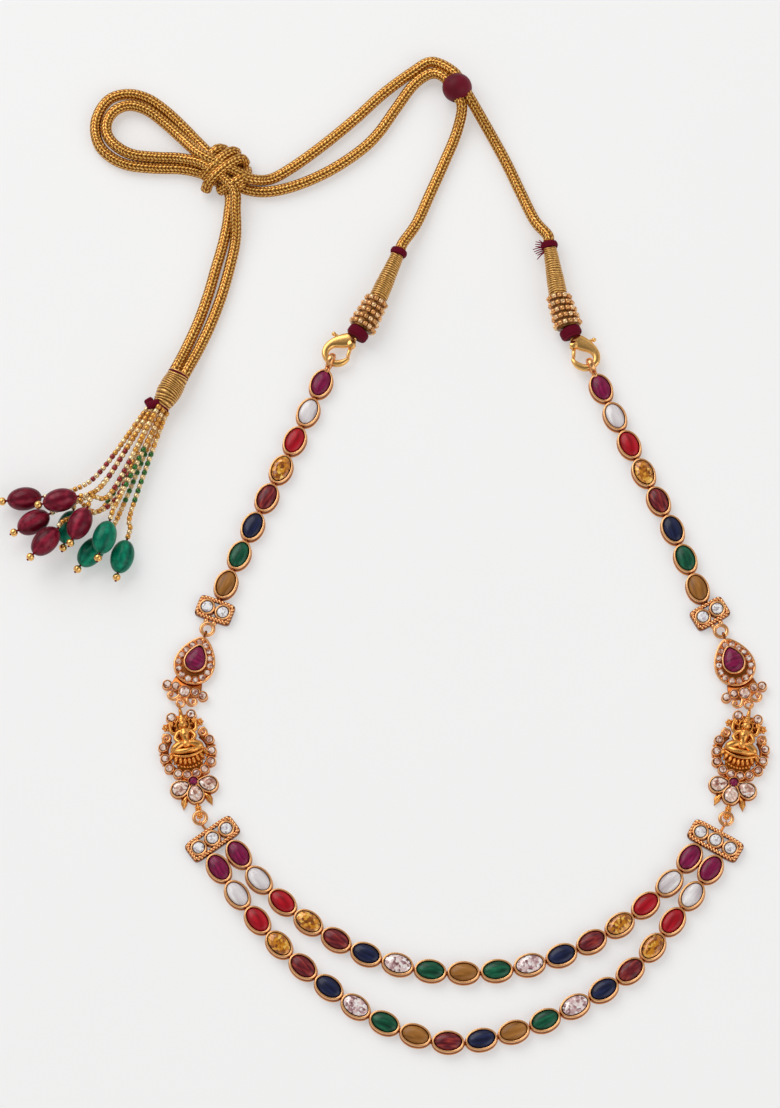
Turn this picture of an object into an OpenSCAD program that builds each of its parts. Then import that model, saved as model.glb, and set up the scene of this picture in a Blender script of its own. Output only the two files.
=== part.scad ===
// Temple necklace with two strands of oval stones, lying flat.
// A zari cord with a sliding bead, a bow knot and a beaded tassel hooks on with two lobster clasps.
// Every piece is laid out in the necklace's own frame: X = 0 on its middle line, +Y up the neck,
// Z = 0 on the surface that it lies on.

/* [Oval links] */
// Length of one oval setting
link_l = 8.3; // [8:0.05:8.35]
// Width of one oval setting
link_w = 5.9; // [5.6:0.05:6]
// Height of a setting from the surface to its rim
link_h = 2.5; // [2.4:0.1:2.8]
// Width of the metal rim round a stone
rim_w = 0.45; // [0.4:0.05:0.5]
// Height of a stone above its rim
stone_rise = 0.6; // [0.3:0.1:0.8]

/* [Spacers] */
// Length of the bar with two crystals
two_stone_bar_l = 9.8; // [9.6:0.1:10.4]
// Length of the bar with three crystals
three_stone_bar_l = 14.6; // [14.4:0.1:15.2]
// Width of both kinds of bar
bar_w = 6; // [5.8:0.1:6.4]
// Height of both kinds of bar
bar_h = 2.3; // [2.2:0.1:2.8]

/* [Drops and plaques] */
// Distance between the joints above and below a drop
drop_l = 20.8; // [20.8:0.1:21]
// Distance between the joints above and below a plaque
plaque_l = 32.2; // [32.2:0.1:32.4]
// Thickness of the pierced plates
plate_t = 1.2; // [1:0.1:1.4]

/* [Cords] */
// Diameter of the braided zari cord
cord_d = 2.8; // [2.6:0.1:2.8]
// Diameter of the sliding bead
slide_bead_d = 8; // [7.8:0.1:8.4]

/* [Sleeves and clasps] */
// Diameter of the thread-wound sleeve at its thick end
sleeve_d = 5; // [4.8:0.1:5.2]
// Width over the collar of seed beads at its wide end
collar_d = 8.2; // [8:0.1:8.4]
// Thickness of the lobster clasps
clasp_t = 2; // [1.8:0.1:2.1]
// How far a clasp's lever swings inward, in degrees
lever_swing = 25; // [15:1:25]

/* [Tassel] */
// Length of a glass bead
glass_l = 9.2; // [9:0.1:9.4]
// Diameter of a glass bead
glass_d = 6.2; // [6:0.1:6.2]
// Diameter of a string of seed beads
string_d = 1.6; // [1.4:0.1:1.6]
// Diameter of the gold bead that ends a string
end_bead_d = 2.2; // [2:0.1:2.4]

/* [Hidden] */

// Rounding of circles
$fn = 48;
fine = 24;

// The middle of the necklace's box, seen from above, in the necklace's own frame
box_middle = [-20.6, -24.3];

// Eyes that join one link to the next: a flat ring in an upright one
eye_r = 0.5;
eye_wire = 0.18;
eye_z = 0.75;
eye_back = 0.25;
eye_room_l = 0.55;
eye_room_w = 1.6;
eye_room_h = 1.55;
edge_gap = 0.16;

// Larger rings between the bars, drops and plaques
ring_r = 1.55;
ring_wire = 0.4;
small_ring_r = 1;
small_ring_wire = 0.3;
hook_r = 0.75;
hook_wire = 0.25;
ring_z = 1.2;

// Seats and loose stones
seat_z = 1.6;
stone_gap = 0.1;
stone_sides = 12;
small_stone_sides = 8;

// Lobster clasp, with its middle at the origin and its tail along +Y
clasp_r = 3.85;
clasp_z = 2.2;
hole_r = 1.75;
pivot = [0.97, 4.3];
pin_r = 0.45;
pin_play = 0.05;
slot_half = 0.5;
blade_half = 0.4;
gate_l = 3.55;
gate_half_w = 0.5;
gate_angle = -58;
nub_angle = 194.8;
nub_reach = 5.6;
clasp_tail = 6.1;
tie_to_clasp = 7.5;
clasp_hook_r = 3;
clasp_ring_r = 1.8;
clasp_ring_wire = 0.35;
clasp_ring_to_chain = 2.3;

// Wound sleeves, all on one height
sleeve_z = 3.1;
tie_t = 2.6;
tie_d = 5.9;
tie_hole_w = 1.7;
tie_notch_w = 3.4;
top_tie_t = 2;
top_tie_d = 4.6;
collar_l = 9.8;
sleeve_l = 13.2;
piece_gap = 0.05;

// Where the two ends of the cord meet the necklace, left then right:
// bottom tie X, Y, its turn, turn of the collar, turn of the sleeve, turn of the clasp's tail,
// turn of the hook's middle, turn of the first link's ring, 1 or -1 for the side of the lever
ends = [
  [-27.6, 60.6, 54, 63, 67, 42, 236, 248, 1],
  [28.9, 60.8, 114, 106, 99, 121, 300, 292, -1]
];
tie_x = 0;
tie_y = 1;
tie_turn = 2;
collar_turn = 3;
sleeve_turn = 4;
tail_turn = 5;
hook_turn = 6;
ring_turn = 7;
lever_side = 8;

// The pieces down each side, left then right: X and Y of the two-stone bar, then the turns of that
// bar, the drop, the plaque and the three-stone bar
sides = [
  [-65, -15.9, -20.5, -18.5, 10.7, 36],
  [64.8, -16.8, 30, 18.2, -12.6, -30]
];
two_bar_turn = 2;
drop_turn = 3;
plaque_turn = 4;
three_bar_turn = 5;

// Points between the ends of each chain and strand
upper_points = [
  [[-40.6, 39.3], [-47.7, 23.3], [-55.2, 7.2]],
  [[40.4, 37.9], [47.7, 22.4], [55.1, 6.8]]
];
inner_points = [
  [-52.9, -89.2], [-40, -100.6], [-25.1, -109], [-8.4, -113.4],
  [8.6, -113.3], [25.2, -109.2], [40.3, -101.1], [53.4, -89.8]
];
outer_points = [
  [-58.4, -93.3], [-47.6, -106.5], [-34.6, -118], [-20.4, -127.2],
  [-4.3, -132.2], [12.6, -129.5], [28.3, -122.8], [43, -113.2], [53.8, -100.4]
];
strand_x = 3.1;

// Stones in order: upper chains from the clasp down, strands from left to right
upper_gems = ["ruby", "pearl", "coral", "citrine", "garnet", "sapphire", "emerald", "cats_eye"];
inner_gems = [
  "ruby", "pearl", "coral", "citrine", "garnet", "sapphire", "crystal", "emerald", "cats_eye",
  "emerald", "crystal", "sapphire", "garnet", "citrine", "coral", "pearl", "ruby"
];
outer_gems = [
  "ruby", "pearl", "coral", "citrine", "garnet", "sapphire", "crystal", "emerald", "cats_eye",
  "garnet", "sapphire", "cats_eye", "emerald", "crystal", "sapphire", "garnet", "citrine",
  "coral", "pearl", "ruby"
];

// Sections of a stone from its base up: height and breadth as shares of the whole
cabochon_sections = [[0, 0.95], [0.35, 1], [0.78, 0.78], [1, 0.34]];
cut_sections = [[0, 0.3], [0.5, 1], [0.64, 1], [1, 0.58]];

// Crystals on the drop, in the drop's frame: X, Y and radius of each seat
drop_base_seats = [[0, -8.6, 1.3], [-2.7, -7.9, 0.85], [2.7, -7.9, 0.85], [-4.9, -8.2, 0.9], [4.9, -8.2, 0.9]];
halo_count = 15;
halo_stone_r = 0.75;
halo_middle = [4.15, 6.35];
halo_drop = -0.9;
drop_foot_outline = [[-3.6, -5], [3.6, -5], [4.4, -8.4], [1.4, -9.8], [0, -10.9], [-1.4, -9.8], [-4.4, -8.4]];

// Crystals on the plaque, in the plaque's frame: X, Y and radius of each seat
plaque_seats = [
  [-2.6, 8.75, 0.95], [2.6, 8.75, 0.95],
  [-6.1, 1.2, 0.85], [6.1, 1.2, 0.85], [-6.15, -1.9, 0.85], [6.15, -1.9, 0.85],
  [-5.5, -4.7, 0.85], [5.5, -4.7, 0.85], [-3.5, -6.5, 0.85], [3.5, -6.5, 0.85],
  [-1.2, -7.2, 0.85], [1.2, -7.2, 0.85]
];
// Pear crystals below the figure: X, Y, turn
plaque_pears = [[-4, -10.7, -68], [0, -13, 0], [4, -10.7, 68]];
plaque_ruby_y = -9.3;
back_plate_outline = [
  [-3.2, -7.6], [3.2, -7.6], [3.6, -2], [2.6, 3], [3.2, 6],
  [2.4, 9.2], [-2.4, 9.2], [-3.2, 6], [-2.6, 3], [-3.6, -2]
];
// One of the two leaves beside the lowest pear crystal
leaf_outline = [[1.6, -12.2], [3.6, -12.4], [4.2, -14.4], [3.8, -16.2], [2.6, -14.8]];

// Route of the left cord from its sleeve to the knot, round the loop, and down to the tassel
left_to_knot = [
  [-12, 92.2, 2.1], [-8.4, 100.8, 1.5], [-4.6, 109.8, 1.5], [-1.2, 118.4, 2], [0.2, 125.4, 4],
  [-2.3, 129.8, 4], [-4.5, 133.6, 3.9], [-8, 135.2, 2.6], [-12.6, 132.5, 1.5], [-17.4, 125.6, 1.5],
  [-22.2, 118.4, 1.5], [-27, 113.4, 1.5], [-34.7, 107.9, 1.5], [-43, 103.8, 1.5], [-50.4, 101.7, 1.5],
  [-56, 101.8, 1.5], [-60, 103.6, 2]
];
right_to_knot = [
  [19.6, 93, 2.2], [16.1, 100.8, 1.5], [12.1, 109.8, 1.5], [8.2, 117.4, 1.8], [2.7, 126.9, 4],
  [0.2, 131.2, 4], [-2, 135.1, 3.9], [-7.8, 138.5, 2.6], [-13.2, 135.9, 1.5], [-21, 129.7, 1.5],
  [-28.7, 122.2, 1.5], [-37.5, 114.5, 1.5], [-45.7, 108.2, 1.5], [-51.4, 105, 1.6],
  [-56.4, 104.3, 3.7], [-59.6, 105.8, 4.4]
];
// The outer turn of the loop and the inner one
left_loop = [
  [-67.2, 111.6, 2.4], [-70.6, 115.5, 1.8], [-75, 120.4, 1.5], [-79.6, 124.9, 1.5], [-84.2, 128.2, 1.5],
  [-89.2, 129.6, 1.5], [-94, 128.5, 1.5], [-97, 125, 1.5], [-98.3, 120.2, 1.5], [-97.3, 115.2, 1.5],
  [-94.2, 111.6, 1.5], [-89.4, 109.2, 1.5], [-82.4, 108.3, 1.5], [-74.6, 108, 1.5], [-68.4, 106.2, 1.6]
];
right_loop = [
  [-67, 109.4, 5], [-71.2, 112.2, 4.4], [-75.4, 116.8, 2.7], [-79.4, 120.8, 2.2], [-84.2, 124.6, 2.2],
  [-89, 126.1, 2.2], [-92.9, 124.7, 2.2], [-95.1, 121.4, 2.2], [-95, 117.6, 2.3], [-92.6, 114.2, 2.8],
  [-88.2, 111.7, 2.9], [-82, 110.9, 2.9], [-75, 110.5, 2.9], [-68.6, 108.3, 3.9]
];
// From the knot down to the tassel
left_tail = [
  [-62.4, 101.6, 1.6], [-62.3, 94.6, 1.5], [-63.6, 87, 1.5], [-65.6, 79.4, 1.5], [-67.6, 71.8, 1.5],
  [-70.2, 64, 1.5], [-73.2, 56.8, 1.8]
];
right_tail = [
  [-61.2, 101.6, 4.4], [-60.4, 95, 3.7], [-60.4, 87.5, 1.9], [-62, 79.4, 1.5], [-64, 71.8, 1.5],
  [-66.7, 64, 1.5], [-69.8, 56.8, 1.8]
];
cord_sides = 8;
bore_turn = 120;
bore_middle = [-1.05, 130.5];
cord_spacing = 1.45;

// The knot: each strand that shows on it, from one end to the other, X, Y, Z, X, Y, Z
knot_middle = [-63, 107.2];
knot_strands = [
  [-67.4, 103.4, 4.2, -59.2, 109.4, 5.2], [-66.2, 106, 4.8, -61, 112, 4.6],
  [-65.2, 111.6, 3, -63.6, 105, 2.6], [-59, 105.2, 3.2, -59.4, 109, 2.4],
  [-67.6, 108.4, 2.6, -66.4, 103.4, 2.2]
];

// Tassel head: X, Y, turn
tassel_head = [-75.05, 49.1, 243];
tassel_sleeve_l = 11;
tassel_sleeve_d = 6.6;
tassel_z = 3.35;
// Sections of the wound head: share of its length from the cords, share of its radius
head_sections = [[0, 0.87], [0.05, 0.9], [0.33, 1], [0.55, 1], [0.78, 0.86], [0.95, 0.7], [1, 0.66]];
thread_r = 0.3;
bead_bore_r = 0.42;

// Strings of the tassel, a row for each: start across the head, start height, X, Y and Z of the
// middle, X, Y and Z of the glass bead, its turn, 1 for red or 0 for green
strings = [
  [-2.8, 3.4, -97.1, 19.4, 4.9, -115.4, 14.2, 3.3, 187, 1],
  [-1.5, 4.8, -93.7, 18.5, 6.1, -105.7, 12, 8.8, 193, 1],
  [-2.4, 1.1, -95.4, 17.1, 4.8, -112.8, 7.2, 4.8, 209, 1],
  [-0.9, 3, -91.6, 13.7, 3.5, -109.4, 1.1, 7.5, 228, 1],
  [-0.1, 5.9, -92.4, 14.7, 7, -100.4, 5.2, 9.9, 246, 1],
  [-0.6, 1, -94.8, 11.9, 2.4, -103.6, 6.4, 3.1, 256, 0],
  [1.1, 4.6, -90.3, 13.4, 6.1, -93.9, 1.7, 8.9, 254, 0],
  [1.1, 1.5, -90.7, 9.8, 1.7, -97.6, -0.5, 3.1, 233, 0],
  [2.2, 3, -87.2, 11, 2.9, -89.4, -1.8, 3.3, 256, 0]
];

// Functions: curves and frames

function direction(turn) = [cos(turn), sin(turn)];
function up_of(turn) = [-sin(turn), cos(turn)];
function flat(p) = [p.x, p.y];

// A point on the smooth curve between b and c, with a and d as its neighbours
function curve_point(a, b, c, d, t) =
  0.5 * (2 * b + (c - a) * t + (2 * a - 5 * b + 4 * c - d) * t * t + (3 * b - a - 3 * c + d) * t * t * t);

function smooth(points, steps) = [
  for (i = [0:len(points) - 2], k = [0:steps - 1])
    curve_point(points[max(i - 1, 0)], points[i], points[i + 1], points[min(i + 2, len(points) - 1)],
      k / steps),
  points[len(points) - 1]
];

// Distance along a path to each of its points
function distances(path) = [
  for (i = 0, s = 0; i < len(path); s = s + (i + 1 < len(path) ? norm(path[i + 1] - path[i]) : 0), i = i + 1) s
];

// X, Y and turn at a distance along a path
function locate(path, reach, s) =
  let (
    i = [for (k = [0:len(path) - 2]) if (reach[k + 1] >= s || k == len(path) - 2) k][0],
    step = path[i + 1] - path[i],
    p = path[i] + step * (s - reach[i]) / norm(step)
  ) [p.x, p.y, atan2(step.y, step.x)];

// The middle and turn of each of count links that share a curve evenly
function link_frames(points, count) =
  let (path = smooth(points, 10), reach = distances(path), pitch = reach[len(reach) - 1] / count)
  [for (i = [0:count - 1]) locate(path, reach, (i + 0.5) * pitch)];

// The joints before, between and after the links, each with its turn
function link_joints(start, frames, end) =
  let (half = norm(flat(frames[1]) - flat(frames[0])) / 2, last = len(frames) - 1)
  concat(
    [[start.x, start.y, frames[0].z]],
    [for (i = [0:last - 1])
      let (
        a = flat(frames[i]) + half * direction(frames[i].z),
        b = flat(frames[i + 1]) - half * direction(frames[i + 1].z)
      ) [(a.x + b.x) / 2, (a.y + b.y) / 2, (frames[i].z + frames[i + 1].z) / 2]],
    [[end.x, end.y, frames[last].z]]
  );

// Functions: where the pieces meet

function side_of(i, column) = sides[i][column];
function two_bar_at(i) = [side_of(i, 0), side_of(i, 1)];
function drop_top(i) = two_bar_at(i) - (bar_w / 2 + 4.1) * up_of(side_of(i, two_bar_turn));
function drop_bottom(i) = drop_top(i) - drop_l * up_of(side_of(i, drop_turn));
function plaque_bottom(i) = drop_bottom(i) - plaque_l * up_of(side_of(i, plaque_turn));
function three_bar_at(i) = plaque_bottom(i) - (bar_w / 2 + 2.1) * up_of(side_of(i, three_bar_turn));
function upper_end(i) = two_bar_at(i) + (bar_w / 2 + edge_gap) * up_of(side_of(i, two_bar_turn));
function strand_end(i, x) =
  three_bar_at(i) + x * direction(side_of(i, three_bar_turn))
  - (bar_w / 2 + edge_gap) * up_of(side_of(i, three_bar_turn));

function tie_at(i) = [ends[i][tie_x], ends[i][tie_y]];
function clasp_at(i) = tie_at(i) - tie_to_clasp * direction(ends[i][tail_turn]);
function chain_ring_at(i) = clasp_at(i) + clasp_hook_r * direction(ends[i][hook_turn]);
function upper_start(i) = chain_ring_at(i) + clasp_ring_to_chain * direction(ends[i][ring_turn]);
function collar_at(i) = tie_at(i) + (tie_t / 2 + piece_gap) * direction(ends[i][tie_turn]);
function sleeve_at(i) = collar_at(i) + (collar_l + piece_gap) * direction(ends[i][collar_turn]);
function top_tie_at(i) = sleeve_at(i) + (sleeve_l + piece_gap) * direction(ends[i][sleeve_turn]);
function cord_start(i) = top_tie_at(i) + (top_tie_t + piece_gap) * direction(ends[i][sleeve_turn]);

function upper_frames(i) = link_frames(concat([upper_start(i)], upper_points[i], [upper_end(i)]), 8);
inner_frames = link_frames(concat([strand_end(0, strand_x)], inner_points, [strand_end(1, -strand_x)]), 17);
outer_frames = link_frames(concat([strand_end(0, -strand_x)], outer_points, [strand_end(1, strand_x)]), 20);

// Functions: outlines and rings of points

function ellipse_ring(a, b, z, sides) =
  [for (k = [0:sides - 1]) [a * cos(k * 360 / sides), b * sin(k * 360 / sides), z]];

// A pear with its round end of radius r below and its tip at height tip above
function pear_ring(r, tip, z, sides) = [
  for (k = [0:sides - 1])
    let (s = sin(k * 360 / sides), narrow = s > 0 ? 1 - 0.35 * s * s : 1)
    [r * cos(k * 360 / sides) * narrow, s > 0 ? tip * s : r * s, z]
];

// A ring of points round p, square to the direction t
function ring_round(p, t, r, sides) =
  let (side = cross([0, 0, 1], t) / norm(cross([0, 0, 1], t)), up = cross(t, side))
  [for (k = [0:sides - 1]) p + r * (cos((k + 0.5) * 360 / sides) * side + sin((k + 0.5) * 360 / sides) * up)];

function tangent(path, i) =
  let (d = path[min(i + 1, len(path) - 1)] - path[max(i - 1, 0)]) d / norm(d);

// Helpers

// Moves a piece from the necklace's own frame to the part's frame
module in_part() {
  translate([-box_middle.x, -box_middle.y, 0]) children();
}

module at(p, turn = 0, z = 0) {
  translate([p.x, p.y, z]) rotate([0, 0, turn]) children();
}

// Lays a piece that was made round Z along a direction
module lay(p, turn, z) {
  translate([p.x, p.y, z]) rotate([0, 90, turn]) children();
}

// A closed skin over rings of points, each turning anticlockwise as seen from the next
module skin(rings) {
  n = len(rings[0]);
  m = len(rings);
  sides = [
    for (i = [0:m - 2], k = [0:n - 1])
      [i * n + k, (i + 1) * n + k, (i + 1) * n + (k + 1) % n, i * n + (k + 1) % n]
  ];
  ends = [[for (k = [0:n - 1]) k], [for (k = [n - 1:-1:0]) (m - 1) * n + k]];
  polyhedron([for (ring = rings) each ring], concat(sides, ends));
}

module tube(path, radii, sides) {
  skin([for (i = [0:len(path) - 1]) ring_round(path[i], tangent(path, i), radii[i], sides)]);
}

module cord(path) {
  tube(path, [for (p = path) cord_d / 2], cord_sides);
}

module ring(r, wire) {
  rotate_extrude() translate([r, 0]) circle(r = wire, $fn = fine);
}

module bar(a, b, r) {
  d = b - a;
  translate(a) rotate([0, acos(d.z / norm(d)), atan2(d.y, d.x)]) cylinder(r = r, h = norm(d), $fn = fine);
}

// A round bar with ball ends a little wider than it
module capsule(a, b, r) {
  bar(a, b, r);
  for (p = [a, b]) translate(p) sphere(r = r * 1.06, $fn = fine);
}

// A limb through a few points, each with its own radius
module limb(rows, sides = 8) {
  tube([for (row = rows) [row.x, row.y, row.z]], [for (row = rows) row[3]], sides);
}

module oval(l, w, h) {
  linear_extrude(h) scale([l / 2, w / 2]) circle(r = 1);
}

module pear(r, tip, h, sides = 32) {
  linear_extrude(h) polygon([for (p = pear_ring(r, tip, 0, sides)) flat(p)]);
}

// Eyes and their room, with the joint at the origin and the piece on the -X side

module flat_eye() {
  translate([-eye_back, 0, eye_z]) ring(eye_r, eye_wire);
}

module upright_eye() {
  translate([-eye_back, 0, eye_z]) rotate([90, 0, 0]) ring(eye_r, eye_wire);
}

module eye_room() {
  translate([-eye_room_l, -eye_room_w / 2, -1]) cube([3, eye_room_w, 1 + eye_room_h]);
}

// Chains and strands

module setting() {
  difference() {
    oval(link_l, link_w, link_h);
    translate([0, 0, seat_z]) oval(link_l - 2 * rim_w, link_w - 2 * rim_w, link_h);
  }
}

// Links along a chain, each with a flat eye at its start and an upright eye at its end
module links(frames, joints, first_has_eye = true) {
  for (i = [0:len(frames) - 1]) {
    difference() {
      at(frames[i], frames[i].z) setting();
      if (i > 0 || first_has_eye) at(joints[i], joints[i].z + 180) eye_room();
      at(joints[i + 1], joints[i + 1].z) eye_room();
    }
    if (i > 0 || first_has_eye) at(joints[i], joints[i].z + 180) flat_eye();
    at(joints[i + 1], joints[i + 1].z) upright_eye();
  }
}

// The upright ring on an upper chain's first link, which the clasp hooks through
module chain_ring(i) {
  back = clasp_ring_to_chain - clasp_ring_r + 0.1;
  at(chain_ring_at(i), ends[i][ring_turn]) {
    translate([0, 0, clasp_z]) rotate([90, 0, 0]) ring(clasp_ring_r, clasp_ring_wire);
    translate([clasp_ring_r, -0.6, 0.8]) cube([back + 0.5, 1.2, 1.4]);
  }
}

module upper_chain(i) {
  color("#d29a56") in_part() {
    links(upper_frames(i), link_joints(upper_start(i), upper_frames(i), upper_end(i)), false);
    chain_ring(i);
  }
}

module left_upper_chain() upper_chain(0);
module right_upper_chain() upper_chain(1);
module inner_strand() {
  color("#d29a56") in_part()
    links(inner_frames, link_joints(strand_end(0, strand_x), inner_frames, strand_end(1, -strand_x)));
}

module outer_strand() {
  color("#d29a56") in_part()
    links(outer_frames, link_joints(strand_end(0, -strand_x), outer_frames, strand_end(1, strand_x)));
}

// Stones

module oval_stone(sections) {
  a = link_l / 2 - rim_w - stone_gap;
  b = link_w / 2 - rim_w - stone_gap;
  h = link_h + stone_rise - seat_z - stone_gap;
  translate([0, 0, seat_z + stone_gap])
    skin([for (s = sections) ellipse_ring(a * s[1], b * s[1], h * s[0], stone_sides)]);
}

module round_stone(r, h, sections = cut_sections) {
  skin([for (s = sections) ellipse_ring(r * s[1], r * s[1], h * s[0], small_stone_sides)]);
}

module pear_stone(r, tip, h, sections) {
  skin([for (s = sections) pear_ring(r * s[1], tip * s[1], h * s[0], stone_sides)]);
}

module stones(gem) {
  runs = [upper_frames(0), upper_frames(1), inner_frames, outer_frames];
  orders = [upper_gems, upper_gems, inner_gems, outer_gems];
  sections = gem == "citrine" || gem == "crystal" ? cut_sections : cabochon_sections;
  in_part()
    for (k = [0:3], i = [0:len(orders[k]) - 1])
      if (orders[k][i] == gem) at(runs[k][i], runs[k][i].z) oval_stone(sections);
}

module ruby_stones() color("#7a194b") stones("ruby");
module pearl_stones() color("#dcd0d0") stones("pearl");
module coral_stones() color("#b41626") stones("coral");
module citrine_stones() color("#c88c1e") stones("citrine");
module garnet_stones() color("#82282d") stones("garnet");
module sapphire_stones() color("#232855") stones("sapphire");
module emerald_stones() color("#14553c") stones("emerald");
module cats_eye_stones() color("#9b6c37") stones("cats_eye");
module crystal_stones() color("#d7bebe") stones("crystal");

// Bars with crystals

bar_border = 0.9;
bar_bezel_r = 2.15;
bar_stone_r = 1.45;
bar_seat_z = 1.3;
bar_stone_pitch = 4.4;

function bar_stones(count) = [for (k = [0:count - 1]) (k - (count - 1) / 2) * bar_stone_pitch];

// A pierced bar: a border, a setting for each stone, and open corners between them
module stone_bar(l, count) {
  difference() {
    union() {
      difference() {
        translate([-l / 2, -bar_w / 2, 0]) cube([l, bar_w, bar_h - 0.4]);
        translate([bar_border - l / 2, bar_border - bar_w / 2, -1])
          cube([l - 2 * bar_border, bar_w - 2 * bar_border, bar_h + 2]);
      }
      for (x = bar_stones(count)) translate([x, 0, 0]) cylinder(r = bar_bezel_r, h = bar_h);
      for (x = [-1, 1]) translate([x * (l / 2 - bar_border) - 0.6, -0.4, 0]) cube([1.2, 0.8, bar_h - 0.6]);
    }
    for (x = bar_stones(count)) translate([x, 0, bar_seat_z]) cylinder(r = bar_stone_r + stone_gap, h = bar_h);
    children(0);
  }
  children(1);
}

module two_stone_bar(i) {
  top = bar_w / 2 + edge_gap;
  ring_y = -bar_w / 2 - 2.55;
  color("#c08a48") in_part() at(two_bar_at(i), side_of(i, two_bar_turn)) {
    stone_bar(two_stone_bar_l, 2) {
      translate([0, top, 0]) rotate([0, 0, 90]) eye_room();
      translate([0, top, 0]) rotate([0, 0, 90]) flat_eye();
    }
    translate([0, ring_y, ring_z]) ring(ring_r, ring_wire);
    for (x = [-1, 1]) translate([x * 1.1, -bar_w / 2 - 0.55, ring_z]) sphere(r = 0.75, $fn = fine);
  }
}

module three_stone_bar(i) {
  bottom = -bar_w / 2 - edge_gap;
  hook_y = bar_w / 2 + 2.1;
  color("#c08a48") in_part() at(three_bar_at(i), side_of(i, three_bar_turn)) {
    stone_bar(three_stone_bar_l, 3) {
      for (x = [-1, 1]) translate([x * strand_x, bottom, 0]) rotate([0, 0, -90]) eye_room();
      for (x = [-1, 1])
        translate([x * strand_x, bottom, 0]) rotate([0, 0, -90]) {
          if (i == 0) upright_eye();
          if (i == 1) flat_eye();
        }
    }
    translate([0, hook_y, ring_z]) rotate([90, 0, 90]) ring(hook_r, hook_wire);
    bar([0, bar_w / 2 - 0.5, ring_z], [0, hook_y - hook_r, ring_z], 0.4);
  }
}

module left_two_stone_bar() two_stone_bar(0);
module right_two_stone_bar() two_stone_bar(1);
module left_three_stone_bar() three_stone_bar(0);
module right_three_stone_bar() three_stone_bar(1);

module bar_crystals() {
  color("#e6dcdc") in_part()
    for (i = [0, 1]) {
      at(two_bar_at(i), side_of(i, two_bar_turn), bar_seat_z + stone_gap)
        for (x = bar_stones(2)) translate([x, 0, 0]) round_stone(bar_stone_r, 1.2);
      at(three_bar_at(i), side_of(i, three_bar_turn), bar_seat_z + stone_gap)
        for (x = bar_stones(3)) translate([x, 0, 0]) round_stone(bar_stone_r, 1.2);
    }
}

// Pear drops, with the ruby at the origin and the tip along +Y

drop_top_y = 8;
drop_seat_z = 1.3;
drop_h = 2;
drop_ruby = [2.5, 4.1];
bezel_wall = 0.45;

module in_drop(i) {
  in_part() at(drop_top(i) - drop_top_y * up_of(side_of(i, drop_turn)), side_of(i, drop_turn)) children();
}

halo_ring = concat(pear_ring(halo_middle.x, halo_middle.y, 0, 24), [[halo_middle.x, 0, 0]]);
halo_path = smooth([for (p = halo_ring) flat(p)], 2);
halo_reach = distances(halo_path);
halo_seats = [
  for (k = [0:halo_count - 1])
    let (s = (k + 0.5) / halo_count * halo_reach[len(halo_reach) - 1], p = locate(halo_path, halo_reach, s))
    [p.x, p.y + halo_drop, halo_stone_r]
];

module seats(rows, z) {
  for (row = rows) translate([row.x, row.y, z]) cylinder(r = row[2] + stone_gap, h = 3, $fn = fine);
}

module bezels(rows, h) {
  for (row = rows) translate([row.x, row.y, 0]) cylinder(r = row[2] + stone_gap + 0.35, h = h, $fn = fine);
}

module drop(i) {
  foot_y = drop_top_y - drop_l + small_ring_r;
  color("#c98f4e") in_drop(i) {
    difference() {
      union() {
        translate([0, halo_drop, 0]) pear(5.2, 7.8, drop_h - 0.2, 40);
        pear(drop_ruby.x + bezel_wall + 0.1, drop_ruby.y + bezel_wall + 0.3, drop_h + 0.3);
        bezels(drop_base_seats, drop_h);
        linear_extrude(plate_t) polygon(drop_foot_outline);
      }
      translate([0, 0, drop_seat_z]) pear(drop_ruby.x + stone_gap, drop_ruby.y + stone_gap, 3);
      seats(halo_seats, drop_seat_z);
      seats(drop_base_seats, drop_seat_z);
    }
    translate([0, drop_top_y, ring_z]) rotate([90, 0, 90]) ring(hook_r, hook_wire);
    bar([0, 6.2, ring_z], [0, drop_top_y - hook_r, ring_z], 0.45);
    translate([0, foot_y, ring_z]) ring(small_ring_r, small_ring_wire);
    bar([0, -10, ring_z - 0.3], [0, foot_y + small_ring_r, ring_z], 0.4);
    for (x = [-1, 1]) {
      translate([x * 2.6, -10.8, ring_z]) ring(0.75, 0.33);
      bar([x * 1.9, -9, 0.7], [x * 2.2, -10.2, ring_z], 0.5);
    }
  }
}

module left_drop() drop(0);
module right_drop() drop(1);

module drop_rubies() {
  color("#7a0f3c")
    for (i = [0, 1])
      in_drop(i) translate([0, 0, drop_seat_z + stone_gap])
        pear_stone(drop_ruby.x, drop_ruby.y, 2, cabochon_sections);
}

module drop_crystals(i) {
  color("#e6dcdc") in_drop(i)
    for (row = concat(halo_seats, drop_base_seats))
      translate([row.x, row.y, drop_seat_z + stone_gap]) round_stone(row[2], 0.9);
}

module left_drop_crystals() drop_crystals(0);
module right_drop_crystals() drop_crystals(1);

// Plaques: a seated figure on a lotus in a pierced arch, with the figure's lap near the origin

plaque_top_y = 11.5;
plaque_seat_z = 1.3;
plaque_bezel_h = 2;
arch_y = -1.2;
arch_r = 7.1;
arch_inner_r = 5;
pear_crystal = [1.75, 2.6];

module in_plaque(i) {
  turn = side_of(i, plaque_turn);
  in_part() at(drop_bottom(i) - plaque_top_y * up_of(turn), turn) children();
}

module plaque_plate() {
  difference() {
    translate([0, arch_y, 0]) cylinder(r = arch_r, h = plate_t);
    translate([0, arch_y, -1]) cylinder(r = arch_inner_r, h = 4);
    translate([-10, 3.9, -1]) cube([20, 10, 4]);
  }
  linear_extrude(plate_t) polygon(back_plate_outline);
  linear_extrude(plate_t) polygon([[-4, -9], [0, -14], [4, -9], [1.4, -6.5], [-1.4, -6.5]]);
}

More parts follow.
